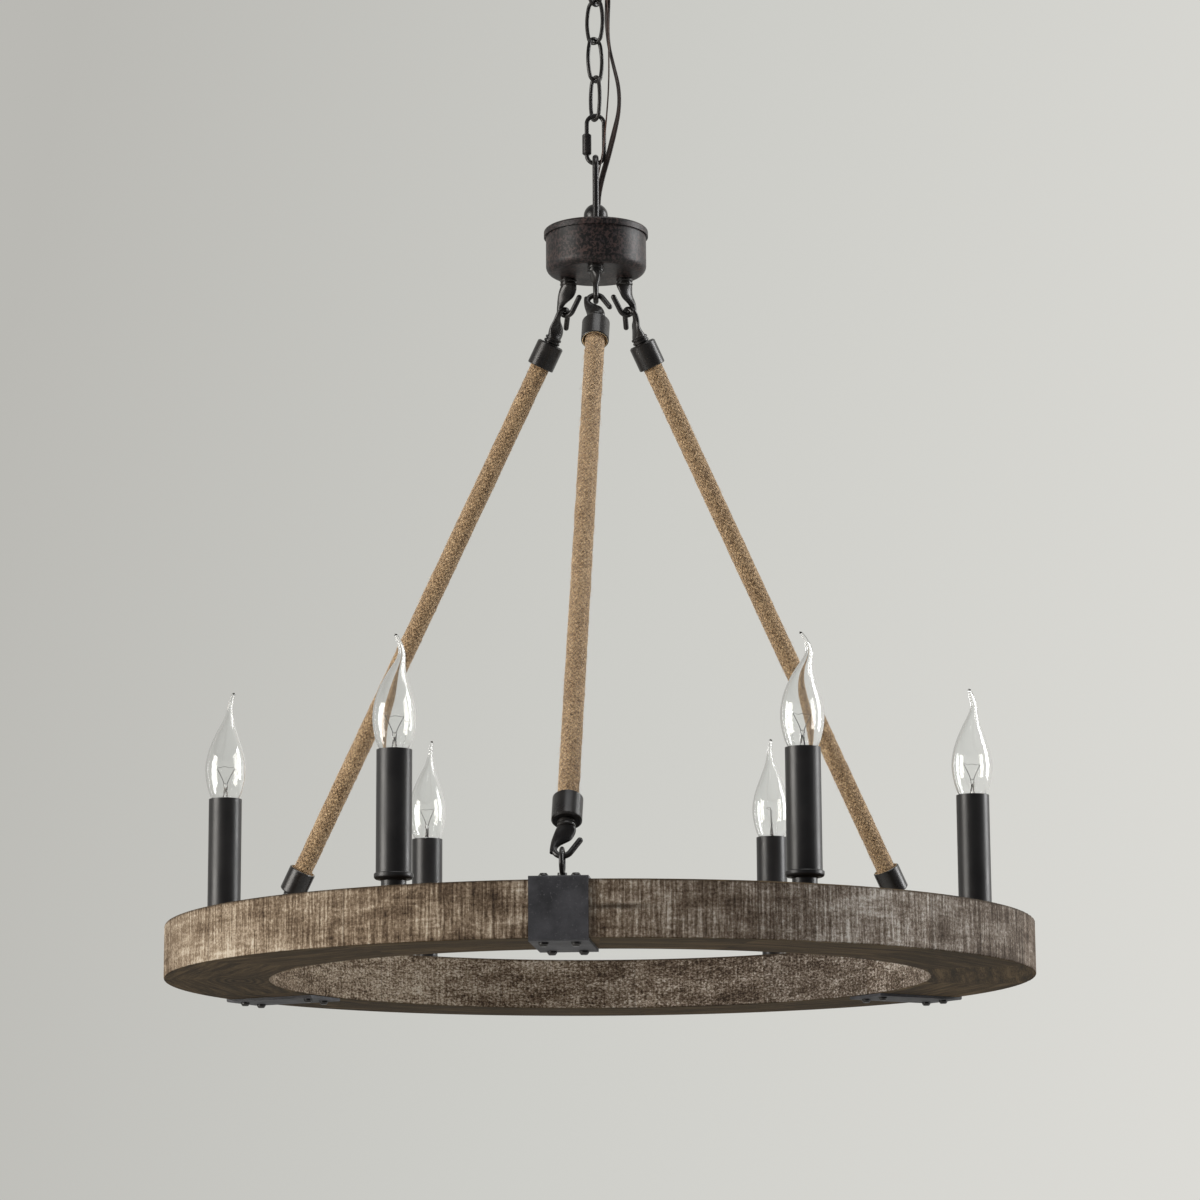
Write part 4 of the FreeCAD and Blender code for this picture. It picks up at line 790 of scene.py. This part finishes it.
# Gap is the share in the gaps between strands, where the rope paints shadow.
braid.links.new(spread(braid, back, 0.05, 0.55, 1.0, 0.0), result["Gap"])
braid.links.new(fibre, result["Fibre"])
print(f"braid: {STRANDS} strands, each {STRAND_WIDTH / MM:.1f} mm wide")

# %% Jute finishes
JUTE_LIGHT, JUTE_MIDDLE, JUTE_DARK = (0.80, 0.585, 0.345), (0.39, 0.245, 0.125), (0.042, 0.022, 0.010)

jute_rope, tree, shader, place = new_material("jute_rope")
uv = tree.nodes.new("ShaderNodeUVMap")
uv.uv_map = "UVMap"
weave = placed(tree, braid, Place=uv.outputs[0])
speck = noise(tree, place, 850.0, 3.0, 0.7)
clump = noise(tree, place, 330.0, 2.0, 0.6)
patch = noise(tree, place, 55.0, 3.0, 0.55)
lively = plus(tree, times(tree, weave["Fibre"], 0.60),
              plus(tree, times(tree, speck, 0.30), times(tree, patch, 0.08)))
lively = plus(tree, lively, times(tree, clump, 0.24))
straw = blend_colours(tree, spread(tree, lively, 0.58, 0.73), JUTE_MIDDLE, JUTE_LIGHT)
# Painted shadow: the gaps between the strands are darkened towards JUTE_DARK, as shadow would fall in them;
# the low lively places are the jute's own dark fibres.
gap_shadow_and_dark_fibres = maths(tree, "MAXIMUM", times(tree, weave["Gap"], 0.85), spread(tree, lively, 0.60, 0.50))
feed(tree, shader, Base_Color=blend_colours(tree, gap_shadow_and_dark_fibres, straw, JUTE_DARK), Roughness=0.85,
     Specular_IOR_Level=0.2, Sheen_Weight=0.25, Sheen_Roughness=0.5,
     Normal=bump(tree, weave["Height"], 0.9 * MM))

jute_hair, tree, shader, place = new_material("jute_hair")
tone = spread(tree, noise(tree, place, 120.0, 2.0), 0.35, 0.65)
feed(tree, shader, Base_Color=blend_colours(tree, tone, (0.52, 0.36, 0.21), (0.70, 0.53, 0.35)),
     Roughness=0.7, Specular_IOR_Level=0.25)
print("jute finishes: body and hair")

# %% Ropes
ROPE_ENDS = {
    "front": ((-0.46, -46.99, -389.69), (-23.51, -299.55, -831.21)),
    "left": ((-39.81, 24.92, -389.69), (-260.23, 150.19, -831.21)),
    "right": ((39.47, 25.28, -389.69), (252.08, 163.48, -831.21)),
}
BODY_SHARE, SWELL, LUMPS = 0.985, 0.030, 0.012
HAIRS, HAIR_LENGTHS, HAIR_RINGS = 1300, (5 * MM, 15 * MM), 5
HAIR_LIFTS, HAIR_WIDTHS, HAIR_ROOT = (0.3, 0.5, 0.8, 1.3), (0.07, 0.14), 0.1 * MM
chance = random.Random(7)


def rope_section(path, seed):
    """A round section whose radius swells and narrows a little along the rope."""
    def section(index):
        point = path[index]
        made = []
        for x, y in circle(1.0, 36):
            spot = Vector((x * 0.9, y * 0.9, index * 0.06 + seed))
            swell = SWELL * fractal(spot, 0.6, 2.0, 3) + LUMPS * fractal(spot * 3.1, 0.6, 2.0, 2)
            radius = ROPE_DIAMETER / 2 * (BODY_SHARE + swell)
            made.append((x * radius, y * radius))
        return made
    return section


def hair_mesh(name, path, body):
    """Stray fibres that lie along the braid and lift off at their ends."""
    corners, faces = [], []
    rings = sections_along(path)
    step = reaches(path)[-1] / (len(path) - 1)
    for _ in range(HAIRS):
        start, turn = chance.uniform(0.02, 0.97), chance.uniform(0, math.tau)
        long = chance.uniform(*HAIR_LENGTHS)
        lean = BRAID_ANGLE * chance.choice((-1, 1)) * chance.uniform(0.5, 1.3)
        lift = chance.choice(HAIR_LIFTS) * MM * chance.uniform(0.5, 1.2)
        thick = chance.uniform(*HAIR_WIDTHS) * MM
        first = len(corners)
        for ring in range(HAIR_RINGS):
            share = ring / (HAIR_RINGS - 1)
            far = start * (len(path) - 1) + share * long * math.cos(lean) / step
            index = min(int(far), len(path) - 2)
            point, side, over_side = rings[index]
            point = point.lerp(path[index + 1], min(far - index, 1.0))
            angle = turn + share * long * math.sin(lean) / (ROPE_DIAMETER / 2)
            out = side * math.cos(angle) + over_side * math.sin(angle)
            high = ROPE_DIAMETER / 2 - HAIR_ROOT + lift * (2 * share - 0.7) ** 2
            tangent = side * -math.sin(angle) + over_side * math.cos(angle)
            centre = point + out * high
            width = thick * (1 - 0.6 * share)
            corners += [centre + tangent * width, centre + out * width * 1.2, centre - tangent * width]
        last = len(corners) - 3
        for low in range(first, last, 3):
            for n in range(3):
                m = (n + 1) % 3
                faces.append((low + n, low + m, low + 3 + m, low + 3 + n))
        faces += [(first + 2, first + 1, first), (last, last + 1, last + 2)]
    mesh = bpy.data.meshes.new(name)
    mesh.from_pydata(corners, [], faces)
    mesh.materials.append(jute_hair)
    made = bpy.data.objects.new(name, mesh)
    bpy.context.scene.collection.objects.link(made)
    bpy.ops.object.select_all(action="DESELECT")
    made.select_set(True)
    bpy.context.view_layer.objects.active = made
    bpy.ops.object.mode_set(mode="EDIT")
    bpy.ops.mesh.select_all(action="SELECT")
    bpy.ops.mesh.normals_make_consistent(inside=False)
    bpy.ops.object.mode_set(mode="OBJECT")
    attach(made, body)
    return made


for seed, side_name in enumerate(SIDES):
    top, bottom = (Vector(end) * MM for end in ROPE_ENDS[side_name])
    path = evenly(smooth_line([top, (top + bottom) / 2, bottom]), 1.0 * MM)
    rope = swept_piece(f"rope_braid_{side_name}", path, rope_section(path, seed * 9.0), jute_rope,
                       f"rope_{side_name}")
    hairs = hair_mesh(f"rope_hairs_{side_name}", path, f"rope_{side_name}")
    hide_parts(f"rope_{side_name}")
    print(f"rope {side_name}: {(bottom - top).length / MM:.0f} mm, {len(rope.data.polygons)} faces,",
          len(hairs.data.polygons), "on hairs")

# %% [markdown]
# ## Bare metal in the ferrules' mouths
#
# The ferrules were painted outside only, so a pale yellow crescent shows in the mouth of the
# front one, round the rope. Its pale cream is partly bare metal and partly a painted highlight,
# made brighter where the light from the right catches it. The bare part is found by measure: it is
# nearer to the rope's axis than the outer skin, and it lies between the two ends of the rope, which rest on
# the floors.

# %% Ferrule finishes
FERRULE_BORE, BORE_BLUR, SEEN_FLOOR = 10.1 * MM, (0.2 * MM, 0.4 * MM), 0.3 * MM
# The crescent's colour: bare metal, with a painted highlight that makes it paler and brighter.
BARE_BRASS_AND_HIGHLIGHT = (0.90, 0.73, 0.47)

for side_name in SIDES:
    top, bottom = (Vector(end) * MM for end in ROPE_ENDS[side_name])
    finish = painted_metal(f"ferrule_black_{side_name}", *CAST_COLOURS, low=0.22, high=0.40)
    tree, shader = finish.node_tree, finish.node_tree.nodes["Principled BSDF"]
    place = tree.nodes.new("ShaderNodeTexCoord").outputs["Object"]
    downwards = (bottom - top).normalized()
    from_end = vector_maths(tree, "SUBTRACT", "Vector", place, top)
    sideways = vector_maths(tree, "CROSS_PRODUCT", "Vector", from_end, downwards)
    distance = vector_maths(tree, "LENGTH", "Value", sideways)
    below = vector_maths(tree, "DOT_PRODUCT", "Value", from_end, downwards)
    between = times(tree, maths(tree, "GREATER_THAN", below, -SEEN_FLOOR),
                    maths(tree, "LESS_THAN", below, (bottom - top).length + SEEN_FLOOR))
    bare = spread(tree, distance, *[FERRULE_BORE + edge for edge in BORE_BLUR], 1.0, 0.0)
    painted = shader.inputs["Base Color"].links[0].from_socket
    # Painted highlight: the bare mouth gets a pale, bright colour, as if lit from the right.
    feed(tree, shader, Base_Color=blend_colours(tree, times(tree, bare, between), painted, BARE_BRASS_AND_HIGHLIGHT))
    dress(finish, f"rope_ferrules_{side_name}")
print("ferrule mouths: bare inside", FERRULE_BORE / MM, "mm of the axis")

# %% [markdown]
# ## Flame bulbs
#
# A flame bulb is blown glass: a thin shell that swells just above the sleeve and is drawn out to
# a bent tip with a little dark nib where it was sealed. Inside stand a glass stem, its wires
# and a filament. The shell is modelled as a glass blower would think of it: a ring is
# extruded upwards, scaled and pushed aside at each height, then smoothed and given its wall.

# %% Glass and wire finishes
clear_glass, tree, shader, place = new_material("clear_glass")
grazing = add_node(tree, "ShaderNodeLayerWeight", Blend=0.5).outputs["Facing"]
rim_shade = spread(tree, grazing, 0.72, 0.98)
feed(tree, shader, Transmission_Weight=1.0, IOR=1.47,
     Base_Color=blend_colours(tree, rim_shade, (0.985, 0.99, 0.988), (0.42, 0.42, 0.42)),
     Roughness=spread(tree, noise(tree, place, 60.0, 2.0), 0.4, 0.7, 0.0, 0.02))
lamp_wire = painted_metal("lamp_wire", (0.16, 0.15, 0.14), (0.08, 0.075, 0.07), (0.05, 0.05, 0.05),
                          low=0.25, high=0.4, metallic=1.0, relief=0.01)
print("glass and wire finishes")

# %% Profiles of a bulb
# Shell: share of the height, share of the radius, and how far the neck's and the tip's bends push it.
SHELL = (
    (0.000, 0.350, 0.0, 0.0), (0.068, 0.680, 0.0, 0.0), (0.150, 0.840, 0.0, 0.0),
    (0.300, 1.000, 0.0, 0.0), (0.450, 0.905, 0.0, 0.0), (0.580, 0.650, 0.0, 0.0),
    (0.700, 0.380, 0.25, 0.05), (0.780, 0.220, 0.75, 0.10), (0.860, 0.140, 1.00, 0.0),
    (0.930, 0.120, 0.55, 0.45), (0.985, 0.095, 0.10, 0.90), (1.000, 0.050, 0.0, 1.0),
)
BULB_RADIUS, BULB_BASE, BULB_TOP, GLASS_WALL = 17.4 * MM, -6 * MM, 88 * MM, 1.1 * MM
BULB_BENDS = {"front_left": (0.33, 0.03), "left": (0.14, 0.33), "rear_left": (0.12, 0.22),
              "rear_right": (-0.05, 0.03), "right": (0.17, -0.04), "front_right": (0.38, -0.02)}
WIRES_FACING = {"front_left": 0, "left": 180, "rear_left": 120, "rear_right": 60, "right": 0,
                "front_right": 0}

# Round pieces, as heights and radii in mm. The nib's are from the bulb's top, with a push aside.
NIB = ((-1.6, 0.5, 0.1), (-1.1, 0.95, 0), (-0.3, 0.9, 0), (0, 0.45, 0))
STEM = ((-7, 4.6), (-4, 2.6), (0, 1.9), (9, 1.7), (12, 2.1), (13.4, 1.2))
CAP_FOOT = ((-30, 2.6), (-29.2, 3.2), (-28, 3.4), (-25.8, 6.0))
CAP_RIM = ((-10, 6.3), (-6.4, 6.3), (-6, 6.0))
THREAD_BOTTOM, THREAD_PITCH, THREAD_TURNS = -24.8, 2.8, 5
THREAD = ((0, 6.1), (0.9, 6.8), (1.7, 6.8))
CAP = [*CAP_FOOT, *[(THREAD_BOTTOM + THREAD_PITCH * turn + height, radius)
                    for turn in range(THREAD_TURNS) for height, radius in THREAD], *CAP_RIM]

# Wires, as points in mm from the sleeve's top, and their widths.
LEAD_WIRE = ((2.2, 0, 0.5), (0.7, 0, 6), (0.9, 0, 12), (3.2, 0, 18), (7.6, 0.4, 25.5))
PINCH_WIRE = ((1.3, 0, 2.0), (0.8, 0, 5.0), (0.25, 0, 9.5))
FILAMENT = ((-7.6, -0.4, 25.5), (-5.2, 2.6, 26.6), (-1.8, 4.2, 25.2), (1.8, 4.2, 26.8),
            (5.2, 2.6, 25.4), (7.6, 0.4, 25.5))
LEAD_WIDTH, PINCH_WIDTH, FILAMENT_WIDTH = 0.55 * MM, 1.1 * MM, 0.32 * MM
LEADS_TURNED = 20

# %% Drawing glass, bending wire


def drawn_up(name, foot, rings, corners, finish, body, levels=0, wall=0.0):
    """A round piece drawn up ring by ring; each ring is (height, radius, push towards +X)."""
    spots = [foot + Vector((push, 0, height)) for height, radius, push in rings]
    bpy.ops.object.select_all(action="DESELECT")
    bpy.ops.mesh.primitive_circle_add(vertices=corners, radius=rings[0][1], location=spots[0])
    piece = bpy.context.object
    piece.name = name
    bpy.ops.object.transform_apply()
    bpy.ops.object.mode_set(mode="EDIT")
    bpy.ops.mesh.select_all(action="SELECT")
    for index in range(1, len(rings)):
        bpy.ops.mesh.extrude_region_move(
            TRANSFORM_OT_translate={"value": spots[index] - spots[index - 1]})
        grow = max(rings[index][1] / rings[index - 1][1], 0.001)
        bpy.ops.transform.resize(value=(grow, grow, 1), center_override=spots[index])
    bpy.ops.mesh.extrude_region_move(TRANSFORM_OT_translate={"value": (0, 0, 0)})
    bpy.ops.mesh.merge(type="CENTER")
    bpy.ops.mesh.select_all(action="DESELECT")
    if not wall:
        bpy.ops.mesh.select_non_manifold()
        bpy.ops.mesh.extrude_region_move(TRANSFORM_OT_translate={"value": (0, 0, 0)})
        bpy.ops.mesh.merge(type="CENTER")
    bpy.ops.mesh.select_all(action="SELECT")
    bpy.ops.mesh.normals_make_consistent(inside=False)
    bpy.ops.object.mode_set(mode="OBJECT")
    if levels:
        smooth = piece.modifiers.new("smooth", "SUBSURF")
        smooth.levels = smooth.render_levels = levels
        bpy.ops.object.modifier_apply(modifier="smooth")
    if wall:
        shell = piece.modifiers.new("wall", "SOLIDIFY")
        shell.thickness, shell.offset, shell.use_even_offset = wall, -1, True
        bpy.ops.object.modifier_apply(modifier="wall")
    piece.data.materials.clear()
    piece.data.materials.append(finish)
    bpy.ops.object.shade_smooth()
    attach(piece, body)
    return piece


def wire_piece(name, foot, points, facing, width, finish, body):
    """A thin wire through points given in mm from the foot."""
    turn = Matrix.Rotation(math.radians(facing), 3, "Z")
    line = evenly(smooth_line([foot + turn @ (Vector(point) * MM) for point in points]), 0.5 * MM)
    return swept_piece(name, line, lambda index: circle(width / 2, 8), finish, body)


def join_pieces(pieces, name):
    """Several pieces made one, each still its own closed form."""
    bpy.ops.object.select_all(action="DESELECT")
    for piece in pieces:
        piece.select_set(True)
    bpy.context.view_layer.objects.active = pieces[0]
    bpy.ops.object.join()
    pieces[0].name = name
    return pieces[0]


def upright(profile):
    """Rings for drawn_up from heights and radii in mm."""
    return [(height * MM, radius * MM, 0) for height, radius in profile]


def opposite(points, side):
    """The same points, or with side -1 those of the wire on the other side."""
    return [(side * x, side * y, z) for x, y, z in points]


# %% Bulbs
for name in CANDLES:
    low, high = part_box(f"candle_sleeve_{name}")
    foot = Vector(((low.x + high.x) / 2, (low.y + high.y) / 2, high.z))
    body, facing = f"bulb_{name}", WIRES_FACING[name]
    neck, tip = BULB_BENDS[name]
    rings = [(BULB_BASE + (BULB_TOP - BULB_BASE) * height, BULB_RADIUS * radius,
              BULB_RADIUS * (neck * neck_share + tip * tip_share))
             for height, radius, neck_share, tip_share in SHELL]
    shell = drawn_up(f"bulb_shell_{name}", foot, rings, 32, clear_glass, body, 2, GLASS_WALL)
    sealed = [(BULB_TOP + height * MM, radius * MM, BULB_RADIUS * tip + push * MM)
              for height, radius, push in NIB]
    nib = drawn_up(f"bulb_nib_{name}", foot, sealed, 12, lamp_wire, body, 1)
    stem = drawn_up(f"bulb_stem_{name}", foot, upright(STEM), 16, clear_glass, body, 1)
    cap = drawn_up(f"bulb_cap_thread_{name}", foot, upright(CAP), 40, cap_brass, body)
    wires = [wire_piece(f"lead_{name}_{side}", foot, opposite(LEAD_WIRE, side), facing + LEADS_TURNED,
                        LEAD_WIDTH, lamp_wire, body) for side in (-1, 1)]
    wires += [wire_piece(f"pinch_{name}_{side}", foot, opposite(PINCH_WIRE, side), facing,
                         PINCH_WIDTH, lamp_wire, body) for side in (-1, 1)]
    wires.append(wire_piece(f"filament_{name}", foot, FILAMENT, facing + LEADS_TURNED,
                            FILAMENT_WIDTH, lamp_wire, body))
    mount = join_pieces(wires, f"bulb_wires_{name}")
    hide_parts(f"bulb_glass_{name}")
    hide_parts(f"bulb_cap_{name}")
print("bulbs:", len(CANDLES), "shells of", len(shell.data.polygons), "faces")

# %% Sizes
low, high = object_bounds()
print("size in mm:", [round(edge / MM, 1) for edge in high - low])
